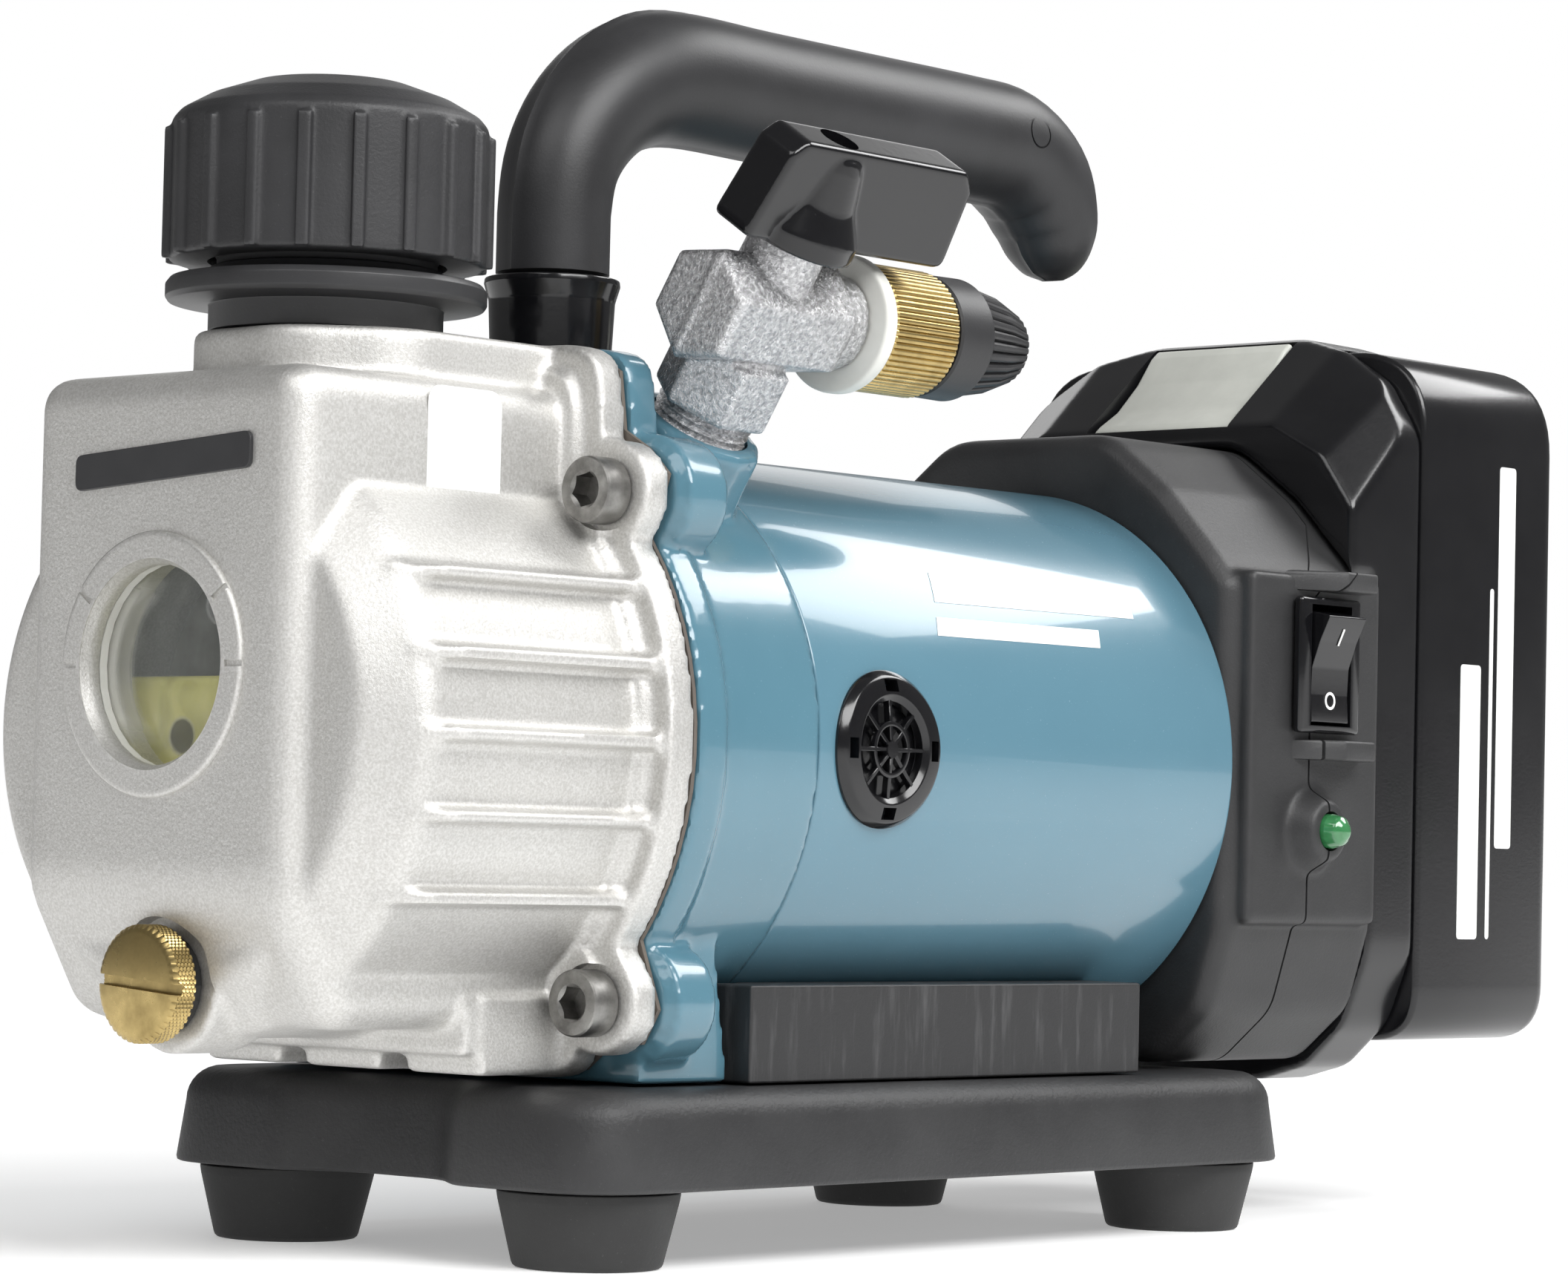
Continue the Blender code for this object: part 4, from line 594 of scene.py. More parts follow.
def makeMotor():
    out, inside = tube["radius"], tube["radius"] - tube["wall"]
    profile = eased([(inside, tube["front"]), (out, tube["front"]), (out, tube["rear"]),
                     (inside, tube["rear"])],
                    [0, 0.0004, 0.0007, 0], 4)
    shell = loose(placed(turned(profile, 180, closed=True), axle))
    combined(shell, placed(rod(tube["ventHole"], 0.02, 0.05, 48), outOfSide(tube["ventX"], axisHeight)))
    make("motor_tube", shell, tubeTeal, stands=["motor_shell"], angle=40)
    rim = eased([(0.0063, -0.0004), (tube["ventRim"], -0.0004), (tube["ventRim"], 0.0004), (0.0094, 0.0013),
                 (0.007, 0.0015), (0.0063, 0.0008)],
                [0, 0, 0.0004, 0.0008, 0.0004, 0], 3)
    ring = loose(turned(rim, 96, closed=True))
    slots = []
    for quarter in range(4):
        slot = crate((0.0074, 0.009), (-0.0013, 0.0013), (-0.002, 0.004))
        slots.append(placed(slot, spin(pi / 2 * quarter, "Z")))
    combined(ring, gathered(slots))
    web = [rod(0.0011, 0.0000, 0.001, 24), turned(eased([(0.003, 0), (0.0037, 0), (0.0037, 0.0009),
            (0.003, 0.0009)], 0.0002, 2), 48, True)]
    for spoke in range(8):
        arm = bevelled(crate((0.0006, 0.0066), (-0.0003, 0.0003), (-0.0002, 0.0009)), 0.0001, sharper(40), 1)
        web.append(placed(arm, spin(pi / 4 * spoke, "Z")))
    web.append(turned([(0, -0.0012), (0.0066, -0.0012), (0.0066, -0.0008), (0, -0.0008)], 48))
    vent = gathered([bmeshOf(ring)] + web)
    bmesh.ops.rotate(vent, verts=vent.verts, cent=(0, 0, 0), matrix=Matrix.Rotation(radians(90), 3, "Z"))
    make("vent", bent(loose(vent), tube["ventX"], axisHeight), gloss,
         stands=["vent_grille"], angle=40)
    bars = []
    for low, high, start, end in ((0.0012, 0.0062, -0.0225, 0.0215), (-0.004, -0.0012, -0.0245, 0.011)):
        strip = crate((start, end), (low, high), (0.00001, 0.00007))
        for step in range(1, 8):
            bmesh.ops.bisect_plane(strip, geom=strip.verts[:] + strip.edges[:] + strip.faces[:],
                                   plane_co=(0, low + (high - low) * step / 8, 0), plane_no=(0, 1, 0))
        for vert in strip.verts:
            vert.co.x += (vert.co.y - low) * tube["stripeLean"]
            vert.co.y += tube["stripeUp"]
        bars.append(strip)
    make("tube_stripes", bent(loose(gathered(bars)), tube["stripeX"], axisHeight), whitePrint)


def bmeshOf(obj):
    bm = bmesh.new()
    bm.from_mesh(obj.data)
    bpy.data.objects.remove(obj)
    return bm


# pump body and oil reservoir, two castings bolted face to face
joint = {"x": -0.06, "radius": 0.0428, "top": 0.0501, "topY": 0.0296, "low": 0.043, "lowY": 0.0285,
         "lobe": 0.0066, "screwY": 0.0312, "screwUp": 0.031, "screwDown": 0.0332}
res = {"front": -0.1118, "halfWide": 0.0245, "top": 0.1103, "low": 0.0298, "chin": 0.0458, "lean": 0.009,
       "drum": 0.0385, "drumFront": 0.0323, "rib": 0.0415, "ribPitch": 0.0098, "pad": 0.1165, "padY": 0.0205,
       "sightZ": sightHeight, "sight": 0.0124, "plugZ": 0.0348, "plugFace": -0.1132, "neckX": -0.0845,
       "seat": 0.0142, "plugHole": 0.0083, "neckHole": 0.0121, "screwHole": 0.0029, "counterbore": 0.005}
labelBox = {"x": (-0.09, -0.0772), "z": (0.0935, 0.1092), "corner": 0.0022}
lobes = [(side * joint["screwY"], height) for side in (-1, 1) for height in (joint["screwUp"],
        -joint["screwDown"])]
screwPlaces = [(y, axisHeight + height) for y, height in lobes]


def jointFace(grow=0.0, steps=360):
    # the lobed outline: a disc, four screw lobes and the two blocks above and below
    outline = []
    for step in range(steps):
        angle = 2 * pi * (step + 0.5) / steps
        y, z = cos(angle), sin(angle)
        reach = [joint["radius"] + grow]
        for lobeY, lobeZ in lobes:
            near = y * lobeY + z * lobeZ
            inside = (joint["lobe"] + grow) ** 2 - lobeY ** 2 - lobeZ ** 2 + near ** 2
            if inside > 0 and near > 0:
                reach.append(near + sqrt(inside))
        halfY, halfZ = (joint["topY"], joint["top"]) if z > 0 else (joint["lowY"], joint["low"])
        square = (abs(y) / (halfY + grow)) ** 14 + (abs(z) / (halfZ + grow)) ** 14
        reach.append(square ** (-1 / 14))
        radius = max(reach)
        outline.append((radius * y, axisHeight + radius * z))
    return outline


def makePumpBody():
    front, rear = joint["x"] + 0.0012, tube["front"] - 0.0003
    shapes = [plate(jointFace(), front, front + 0.005, "X"),
              placed(turned([(0, front + 0.001), (0.0423, front + 0.001), (0.0406, rear), (0, rear)], 160),
                     axle)]
    for y, z in screwPlaces:
        shapes.append(placed(turned([(0, front + 0.001), (0.008, front + 0.001), (0.0076, front + 0.0088),
                (0, front + 0.0088)], 40), alongX(y, z)))
    bracket = [(front + 0.0005, 0.023), (-0.0414, 0.023), (-0.0449, 0.0445), (front + 0.0005, 0.0445)]
    shapes.append(plate(bracket, -0.033, 0.033, "Y"))
    shapes.append(placed(turned([(0, 0.025), (0.0098, 0.025), (0.0092, 0.044), (0.0092, 0.0487),
                                 (0.0084, 0.0495), (0, 0.0495)], 12), intake))
    shapes.append(placed(rod(0.01, 0.0965, 0.1125, 48), shift(-0.0435, 0, 0)))
    body = melted(shapes, 0.0006, 5)
    hollow = [placed(rod(0.02, front + 0.008, rear + 0.001, 64), axle),
              placed(rod(0.0069, 0.0415, 0.0505, 40), intake)]
    combined(body, gathered(hollow))
    make("body_casting", body, teal, stands=["pump_body"], angle=45)


def makeReservoir():
    front, top, low = res["front"], res["top"], res["low"]
    x = joint["x"]
    side = [(front, top), (x - 0.001, top), (x - 0.001, low), (front + res["lean"], low), (front, res["chin"])]
    trunk = plate(side, -res["halfWide"], res["halfWide"], "Y")
    bevelled(trunk, 0.004, lambda e: min(v.co.x for v in e.verts) < x - 0.002, 5)
    drum = [(0, -0.1085), (res["drumFront"], -0.1085), (res["drum"], -0.102), (res["drum"], x - 0.0005),
            (0, x - 0.0005)]
    shapes = [trunk, placed(turned(eased(drum, [0, 0.003, 0.004, 0, 0], 6, False), 160), axle),
              plate(jointFace(), x - 0.0045, x, "X"), plate(jointFace(-0.0032), x - 0.006, x - 0.003, "X")]
    pad = eased([(-0.1012, -0.01), (-0.09, -res["padY"]), (x - 0.001, -res["padY"]), (x - 0.001, 0.0165),
                 (-0.088, 0.0165), (-0.1008, 0.008)], [0.011, 0.012, 0, 0, 0.012, 0.01], 12)
    shapes.append(bevelled(plate(pad, top - 0.003, res["pad"]), 0.001, level(2, res["pad"]), 3))
    for index in range(5):
        height = (index - 2) * res["ribPitch"] - 0.0006
        reach = sqrt(res["rib"] ** 2 - height ** 2)
        root = sqrt(res["drum"] ** 2 - height ** 2) - 0.0012
        for sign in (-1, 1):
            rib = [(-0.1035, root * sign), (-0.0985, (reach - 0.0002) * sign), (x - 0.001, reach * sign),
                   (x - 0.001, root * sign)]
            thick = plate(rib, axisHeight + height - 0.00085, axisHeight + height + 0.00085)
            shapes.append(thick)
    shapes.append(placed(rod(0.0086, -0.1076, front + 0.014, 48), alongX(0, res["plugZ"])))
    for y in (-0.0185, 0, 0.0185):
        shapes.append(crate((x - 0.0185, x - 0.001), (y - 0.0068, y + 0.0068),
                            (axisHeight - joint["low"] + 0.0006, low + 0.004)))
    shapes.append(crate((x - 0.0215, x - 0.001), (-0.025, 0.025),
                        (axisHeight - joint["low"] + 0.003, low + 0.004)))
    casting = melted(shapes, 0.0006, 5)
    inside = [(front + 0.005, top - 0.0036), (x + 0.001, top - 0.0036), (x + 0.001, low + 0.0046),
              (front + 0.011, low + 0.0046), (front + 0.005, res["chin"] + 0.003)]
    cuts = [plate(inside, -0.0209, 0.0209, "Y"), placed(rod(0.0349, -0.099, x + 0.0012, 96), axle)]
    combined(casting, gathered(cuts), own=True)
    boss = placed(turned([(res["seat"], -0.1098), (0.0172, -0.1098), (0.0172, -0.1028), (res["seat"], -0.1028)],
                         72, True), alongX(0, res["sightZ"]))
    combined(casting, boss, "UNION")
    rim = [(0, front - 0.0007)] + [(radius, front - 0.0007) for radius in (0.0124, 0.0128, 0.0132, 0.0136,
            0.0142, 0.015, 0.0156, 0.016)]
    rim += [(0.01625, front - 0.0006), (0.0164, front - 0.0003), (0.0165, front + 0.002), (0, front + 0.002)]
    combined(casting, placed(turned(rim, 120), alongX(0, res["sightZ"])), "UNION")
    cuts = [placed(turned([(0, front - 0.002), (res["sight"] + 0.0006, front - 0.002),
                           (res["sight"] + 0.0006, front - 0.0005),
                           (res["sight"], front + 0.0002), (res["sight"], -0.1098), (res["seat"],
                                   -0.1098), (res["seat"], -0.102),
                           (0, -0.102)], 96), alongX(0, res["sightZ"])),
            placed(rod(res["plugHole"], -0.114, -0.1076, 48), alongX(0, res["plugZ"])),
            placed(rod(res["neckHole"], 0.098, 0.118, 64), shift(res["neckX"], 0, 0))]
    for y, z in screwPlaces:
        wide, narrow = res["counterbore"], res["screwHole"]
        stepped = [(0, -0.0765), (wide, -0.0765), (wide, x - 0.0045), (narrow, x - 0.0045), (narrow, x + 0.001),
                   (0, x + 0.001)]
        cuts.append(placed(turned(stepped, 40), alongX(y, z)))
    for turn in (35, 145, 180, 0):
        mark = crate((front - 0.0012, front - 0.0003), (-0.0004, 0.0004), (0.0136, 0.0164))
        cuts.append(placed(mark, shift(0, 0, res["sightZ"]) @ spin(radians(turn - 90), "X")))
    combined(casting, gathered(cuts))
    make("reservoir_casting", casting, silver, stands=["oil_reservoir"], angle=45)
    (left, right), (bottom, height) = labelBox["x"], labelBox["z"]
    corners = [(left, bottom), (right, bottom), (right, height), (left, height)]
    label = plate(eased(corners, labelBox["corner"], 6), -res["halfWide"] - 0.00012, -res["halfWide"] - 0.00002,
                  "Y")
    make("blank_label", label, whitePrint)
    bar = plate(eased([(-0.017, 0.0975), (0.015, 0.0955), (0.015, 0.1), (-0.017, 0.102)], 0.0012, 5),
                front - 0.00055, front + 0.0002, "X")
    make("blank_front_bar", bar, darkPrint, edge=0.00015, edgeSteps=2)


bolt = {"headR": 0.00425, "headTall": 0.0044, "shankR": 0.0025, "shankLong": 0.0127, "keyR": 0.00231,
        "keyDeep": 0.0028}


def makeScrews():
    face = joint["x"] - 0.0045
    head, wide, narrow, end = face - bolt["headTall"], bolt["headR"], bolt["shankR"], face + bolt["shankLong"]
    profile = eased([(0, head), (wide, head), (wide, face - 0.0003), (narrow, face - 0.0003), (narrow, end),
                     (0, end)],
                    [0, 0.0006, 0.0002, 0, 0.0003, 0], 3, False)
    for index, (y, z) in enumerate(screwPlaces, 1):
        screw = loose(placed(turned(profile, 64), alongX(y, z)))
        key = placed(plate(sixSided(bolt["keyR"], 0.3 * index), head - 0.001, head + bolt["keyDeep"]),
                     alongX(y, z))
        mouth = placed(turned([(0, head - 0.0001), (0.0026, head - 0.0001), (0.002, head + 0.0004),
                               (0, head + 0.0004)], 32), alongX(y, z))
        combined(screw, key)
        combined(screw, mouth)
        make(f"socket_screw_{index}", screw, screwSteel, stands=[f"cover_screw_{index}"])


sight = {"lensX": -0.108, "lensR": 0.0139, "lensThick": 0.0023, "oilTop": 0.073, "oilLow": 0.0357,
         "oilHalfWide": 0.0196, "oilFront": -0.1018, "oilRear": -0.0892}


def makeSight():
    at = alongX(0, res["sightZ"])
    x, radius, back = sight["lensX"], sight["lensR"], sight["lensX"] + sight["lensThick"]
    lens = eased([(0, x - 0.0006), (0.0118, x - 0.0001), (radius, x), (radius, back), (0, back)],
                 [0, 0, 0.0003, 0.0003, 0], 3, False)
    make("sight_lens", placed(turned(lens, 96), at), glass, stands=["sight_glass"])
    top, low, front, rear = sight["oilTop"], sight["oilLow"], sight["oilFront"], sight["oilRear"]
    outline = [(front, top), (front, res["chin"] + 0.002), (front + 0.0042, low), (rear, low), (rear, top)]
    pool = plate(outline, -sight["oilHalfWide"], sight["oilHalfWide"], "Y")
    bevelled(pool, 0.0008, sharper(30), 3)
    make("oil_pool", pool, oil, stands=["oil_charge"])


plug = {"thick": 0.0038, "radius": 0.0073, "rows": 10, "teeth": 44, "slotDeep": 0.0013, "shankR": 0.004,
        "shankLong": 0.0088}


def makePlug():
    at = alongX(0, res["plugZ"])
    face, rear, rows = res["plugFace"], res["plugFace"] + plug["thick"], plug["rows"]
    sections = [(face, 0.0062, 0, 0), (face + 0.0002, 0.0068, 0, 0)]
    for row in range(rows + 1):
        sections.append((face + 0.0006 + (rear - face - 0.001) * row / rows, plug["radius"], 0.00028,
                         row * 0.5))
    sections += [(rear - 0.0002, 0.0069, 0, 0), (rear, 0.0062, 0, 0)]
    head = loose(placed(fluted(sections, plug["teeth"], 4), at))
    slot = crate((face - 0.001, face + plug["slotDeep"]), (-0.009, 0.009), (-0.00065, 0.00065))
    combined(head, placed(slot, shift(0, 0, res["plugZ"]) @ spin(radians(4), "X")))
    radius, end = plug["shankR"], rear + plug["shankLong"]
    shank = eased([(0, rear - 0.001), (radius, rear - 0.001), (radius, end), (0, end)], [0, 0, 0.0005, 0], 3,
                  False)
    shank = placed(turned(shank, 40), at)
    make("drain_screw", gathered([bmeshOf(head), shank]), brass, "drain_plug",
         stands=["drain_plug"], angle=30)


# filler neck and exhaust cap
cap = {"low": 0.1258, "shoulder": 0.1448, "dome": 0.0049, "skirt": 0.0201, "rib": 0.021, "ribs": 19,
       "bore": 0.0152, "roof": 0.1398}


def makeExhaust():
    at = shift(res["neckX"], 0, 0)
    low = res["pad"] + 0.0003
    profile = [(0.0095, low - 0.0085), (0.0117, low - 0.0085), (0.0117, low), (0.0149, low), (0.0149, 0.1203),
               (0.02, 0.1206), (0.0204, 0.1212), (0.0204, 0.1228), (0.0198, 0.1236), (0.0152, 0.1238), (0.0149,
                       0.125),
               (0.014, 0.1252)]
    for turn in range(4):
        z = 0.1262 + 0.003 * turn
        profile += [(0.014, z), (0.0146, z + 0.0008), (0.0146, z + 0.0014), (0.014, z + 0.0022)]
    profile += [(0.014, 0.138), (0.0095, 0.138)]
    make("neck", placed(turned(eased(profile, 0.0003, 2), 96, closed=True), at), satin,
         stands=["filler_neck"])
    dome = [(0, cap["low"]), (cap["skirt"], cap["low"]), (cap["skirt"], cap["shoulder"] - 0.0012),
            (cap["skirt"] - 0.001, cap["shoulder"]),
            (cap["skirt"] - 0.0045, cap["shoulder"] + 0.002), (0.01, cap["shoulder"] + 0.004), (0.005,
                    cap["shoulder"] + 0.0047),
            (0, cap["shoulder"] + cap["dome"])]
    shapes = [turned(eased(dome, [0, 0.0004, 0.001, 0.001, 0.002, 0.003, 0.003, 0], 4, False), 120)]
    for rib in range(cap["ribs"]):
        strip = crate((cap["skirt"] - 0.002, cap["rib"]), (-0.0008, 0.0008),
                      (cap["low"] + 0.0001, cap["shoulder"] - 0.0022))
        shapes.append(placed(strip, spin(2 * pi * (rib + 0.5) / cap["ribs"], "Z")))
    skirt = melted([placed(shape, at) for shape in shapes], 0.00035, 3)
    combined(skirt, placed(rod(cap["bore"], cap["low"] - 0.001, cap["roof"], 72), at))
    make("ribbed_cap", skirt, capBlack, "exhaust_cap", stands=["exhaust_cap"], angle=45)


# intake valve, laid out on its own leaning axis, with its port at a right angle
valve = {"x": -0.0432, "lean": 33, "up": 0.0663, "inletFlats": 0.014, "barFlats": 0.0138, "nutTeeth": 62,
         "noseTeeth": 30}
intake = shift(valve["x"], 0, axisHeight) @ spin(radians(valve["lean"]), "X")
port = intake @ shift(0, 0, valve["up"]) @ spin(pi / 2, "Y")


def makeValve():
    up = valve["up"]
    inlet = bevelled(plate(sixSided(valve["inletFlats"] / sqrt(3)), 0.052, 0.0605), 0.0007, level(2, 0.052), 2)
    bar = [(a, up + b) for a, b in sixSided(valve["barFlats"] / sqrt(3), pi / 2)]
    bar = plate(bar, -0.011, 0.0122, "X")
    bevelled(bar, 0.0009, level(0, -0.011), 2)
    bevelled(bar, 0.0014, level(0, 0.0122), 3)
    throat = placed(rod(0.0064, 0, 0.0153, 48), shift(0, 0, up) @ spin(pi / 2, "Y"))
    shapes = [inlet, bar, throat, turned([(0, 0.06), (0.0062, 0.062), (0.0053, 0.0715), (0.0052, 0.0768),
            (0, 0.0768)], 40),
              turned([(0, 0.058), (0.0068, 0.058), (0.0064, 0.061), (0, 0.063)], 40),
              crate((-0.01125, -0.0105), (-0.0004, 0.0004), (up - 0.0068, up + 0.0068))]
    body = melted([placed(shape, intake) for shape in shapes], 0.0003, 2)
    turns = [(0, 0.0428)]
    for step in range(9):
        turns += [(0.00655, 0.0433 + step * 0.001), (0.0059, 0.0438 + step * 0.001)]
    thread = placed(turned(turns + [(0.006, 0.0524), (0, 0.0524)], 60), intake)
    tip = placed(turned(eased([(0, 0.014), (0.005, 0.014), (0.005, 0.0335), (0, 0.0335)], [0, 0, 0.0005, 0], 2,
                              False), 48), port)
    make("valve_casting", gathered([bmeshOf(body), thread, tip]), nickel,
         stands=["intake_valve_body"], angle=40)
    washer = eased([(0.0053, 0.0156), (0.0092, 0.0156), (0.0092, 0.0179), (0.0053, 0.0179)], 0.0006, 4)
    make("white_washer", placed(turned(washer, 96, closed=True), port), ptfe,
         stands=["port_washer"])
    start = 0.0182
    sections = [(start, 0.0078, 0, 0), (start + 0.0008, 0.0085, 0.0003, 0), (start + 0.013, 0.0085, 0.0003, 0),
                (start + 0.0138, 0.0078, 0, 0)]
    ring = combined(loose(fluted(sections, valve["nutTeeth"], 6)),
                    rod(0.0053, start - 0.001, start + 0.015, 48))
    make("knurled_nut", placed(bmeshOf(ring), port), brass, stands=["knurled_ring"], angle=28)
    start = 0.0323
    sections = [(start, 0.0079, 0, 0), (start + 0.0003, 0.0082, 0, 0), (start + 0.0064, 0.0083, 0, 0),
                (start + 0.007, 0.0079, 0, 0),
                (start + 0.0074, 0.0077, 0.0006, 0), (start + 0.013, 0.0068, 0.0007, 0), (start + 0.0178,
                        0.0052, 0.0006, 0),
                (start + 0.0188, 0.0044, 0.0002, 0), (start + 0.0192, 0.0036, 0, 0), (start + 0.02, 0.003, 0,
                        0)]
    nose = combined(loose(fluted(sections, valve["noseTeeth"], 6)), rod(0.0054, start - 0.001, 0.0353, 40))
    make("port_nose", placed(bmeshOf(nose), port), satin, "port_cap", stands=["port_cap"],
         angle=28)


blade = {"low": 0.0775, "high": 0.0915, "halfWide": 0.0035}


def makeLever():
    low, high = blade["low"], blade["high"]
    side = eased([(-0.0124, low), (0.0266, low), (0.0251, high - 0.0026), (0.0227, high), (-0.0088, high),
                  (-0.0108, high - 0.002)],
                 [0.0012, 0.0016, 0.0012, 0.0016, 0.0012, 0.0012], 5)
    bar = bevelled(plate(side, -blade["halfWide"], blade["halfWide"], "Y"), 0.0007, sharper(50), 3)
    hub = eased([(0, low - 0.0003), (0.0084, low - 0.0003), (0.0082, low + 0.0022), (0.006, low + 0.006),
                 (0.0047, high - 0.003), (0.004, high - 0.0012),
                 (0, high - 0.0012)], [0, 0.0004, 0.0006, 0.002, 0.002, 0.001, 0], 4, False)
    lever = melted([placed(shape, intake) for shape in (bar, turned(hub, 72))], 0.00028, 4)
    cuts = [rod(0.0021, low - 0.002, 0.0869, 24), rod(0.0027, 0.0868, high + 0.002, 40)]
    combined(lever, placed(gathered(cuts), intake), own=True)
    make("valve_handle", lever, gloss, "valve_stem", stands=["valve_lever"], angle=45)


# carrying handle
grip = {"x": -0.0435, "post": 0.0076, "thick": 0.0092, "height": 0.1582, "low": 0.1128, "sleeveTop": 0.1283}


def makeHandle():
    thick, height = grip["thick"], grip["height"]
    path = [(0, grip["low"], 0.0062), (0, 0.1284, 0.0062), (0, 0.129, grip["post"]), (0, 0.137, grip["post"]),
            (0.0014, 0.1445, 0.0078), (0.0058, 0.151, 0.0083), (0.0125, 0.1558, 0.0088), (0.0215, height,
                    thick),
            (0.04, height, thick), (0.062, height, thick), (0.085, height, thick), (0.0945, 0.1577, thick),
            (0.1015, 0.154, 0.009), (0.1052, 0.1487, 0.0081), (0.1066, 0.1442, 0.0067), (0.1073, 0.1409,
                    0.0044), (0.1075, 0.1394, 0.0016)]
    fine = []
    for index in range(len(path) - 1):
        four = [Vector(path[max(0, min(len(path) - 1, index + k))]) for k in (-1, 0, 1, 2)]
        parts = 1 if index < 3 else 5
        for part in range(parts):
            t = part / parts
            point = 0.5 * (2 * four[1] + (four[2] - four[0]) * t
                           + (2 * four[0] - 5 * four[1] + 4 * four[2] - four[3]) * t * t
                           + (3 * four[1] - four[0] - 3 * four[2] + four[3]) * t ** 3)
            fine.append(point if parts > 1 else four[1])
    fine.append(Vector(path[-1]))
    bm = bmesh.new()
    before = None
    for index, (x, z, radius) in enumerate(fine):
        ahead = fine[min(index + 1, len(fine) - 1)] - fine[max(index - 1, 0)]
        lean = atan2(ahead.x, ahead.y)
        loop = bmesh.ops.create_circle(bm, cap_ends=False, radius=radius, segments=72)["verts"]
        for vert in loop:
            if abs(vert.co.y) < radius * 0.03:
                vert.co.x *= 1 + 0.00024 / radius
        bmesh.ops.transform(bm, matrix=shift(grip["x"] + x, 0, z) @ spin(lean, "Y"), verts=loop)
        edges = list({edge for vert in loop for edge in vert.link_edges})
        if before:
            bmesh.ops.bridge_loops(bm, edges=before + edges)
        before = edges
    bmesh.ops.holes_fill(bm, edges=bm.edges, sides=0)
    bmesh.ops.recalc_face_normals(bm, faces=bm.faces)
    handle = loose(bm)
    mark = turned([(0.0021, 0), (0.0024, 0), (0.0024, 0.02), (0.0021, 0.02)], 48, True)
    placed(mark, shift(0.049, -thick + 0.0004, height + 0.001) @ spin(pi / 2, "X"))
    combined(handle, mark)
    make("carry_handle", handle, satin, stands=["handle"], angle=40)
    low, high = grip["low"], grip["sleeveTop"]
    sleeve = eased([(0.0066, low), (0.0081, low), (0.0081, low + 0.005), (0.00845, high - 0.003),
                    (0.0091, high - 0.0008), (0.009, high), (0.0078, high), (0.0066, high - 0.0006)],
                   [0, 0.0004, 0.003, 0.002, 0.0004, 0.0003, 0.0003, 0], 4)
    make("handle_sleeve", placed(turned(sleeve, 96, closed=True), shift(grip["x"], 0, 0)), gloss,
         stands=["handle_collar"])


# rear housing with its switch panel
housing = {"front": 0.0575, "rear": 0.095, "top": 0.1155, "low": 0.0236, "halfWide": 0.0385,
           "panelX": (0.06, 0.0925), "panelY": 0.041, "panelZ": (0.044, 0.095), "switchX": 0.077,
           "switchZ": 0.0818, "ledX": 0.075, "ledZ": 0.0577}


def housingSection():
    top, low, wide = housing["top"], housing["low"], housing["halfWide"]
    half = [(0.015, top), (0.0262, top - 0.0085), (0.035, top - 0.018), (wide, top - 0.0225),
            (wide, low + 0.02),
            (0.035, low + 0.008), (0.026, low)]
    radii = [0.011, 0.01, 0.005, 0.003, 0.01, 0.008, 0.006]
    return eased(mirrored(half), radii + radii[::-1], 6)


def makeHousing():
    panelX, panelZ, panelY = housing["panelX"], housing["panelZ"], housing["panelY"]
    whole = plate(housingSection(), housing["front"], housing["rear"], "X")
    bevelled(whole, 0.003, level(0, housing["front"]), 4)
    bevelled(whole, 0.0012, level(0, housing["rear"]), 2)
    shapes = [whole, bevelled(plate(box2((panelX[1] - panelX[0]) / 2, (panelZ[1] - panelZ[0]) / 2,
            (sum(panelX) / 2, sum(panelZ) / 2)),
                                    -panelY, panelY, "Y"), 0.001, sharper(40), 2)]
    x, z = housing["switchX"], housing["switchZ"]
    boss = turned(eased([(0, panelY - 0.001), (0.0068, panelY - 0.001), (0.0042, panelY + 0.0038),
                         (0, panelY + 0.0038)], [0, 0, 0.0008, 0], 3, False), 64)
    shapes.append(placed(boss, outOfSide(housing["ledX"], housing["ledZ"])))
    solid = loose(gathered(shapes))
    skin = melted(solid, 0.00055, 4)
    guards = []
    for at in (z + 0.0108, z - 0.0138):
        wedge = eased([(x - 0.0082, 0.001 - panelY), (x + 0.0105, 0.001 - panelY),
                       (x + 0.008, -0.0045 - panelY), (x + 0.0005, -0.0045 - panelY)],
                      [0, 0, 0.0008, 0.001], 3)
        guards.append(bevelled(plate(wedge, at, at + 0.0029), 0.0004, sharper(50), 2))
    combined(skin, gathered(guards), "UNION")
    inner = [(y * 0.93, 0.06955 + (z - 0.06955) * 0.94) for y, z in housingSection()]
    cuts = [plate(inner, housing["front"] + 0.0025, housing["rear"] - 0.0025, "X"),
            placed(rod(0.0135, housing["front"] - 0.001, housing["front"] + 0.004, 48), axle),
            crate((x - 0.0067, x + 0.0067), (-panelY - 0.01, -panelY + 0.013), (z - 0.0094, z + 0.0094)),
            placed(rod(0.0029, panelY - 0.008, panelY + 0.02, 40), outOfSide(housing["ledX"], housing["ledZ"]))]
    combined(skin, gathered(cuts), own=True)
    partLow, partHigh, gap = 0.0745, 0.089, 0.00022
    for name, far, shift in (("housing_front", 0.04, -gap), ("housing_rear", 0.13, gap)):
        zigzag = [(far, 0), (partLow + shift, 0), (partLow + shift, panelZ[1] - 0.004),
                  (partHigh + shift, housing["top"] - 0.012),
                  (partHigh + shift, 0.2), (far, 0.2)]
        half = bpy.data.objects.new("half", skin.data.copy())
        bpy.context.scene.collection.objects.link(half)
        combined(half, plate(zigzag, -0.1, 0.1, "Y"), "INTERSECT")
        make(name + "_shell", half, housingBlack, stands=[name], angle=45)
    bpy.data.objects.remove(skin)


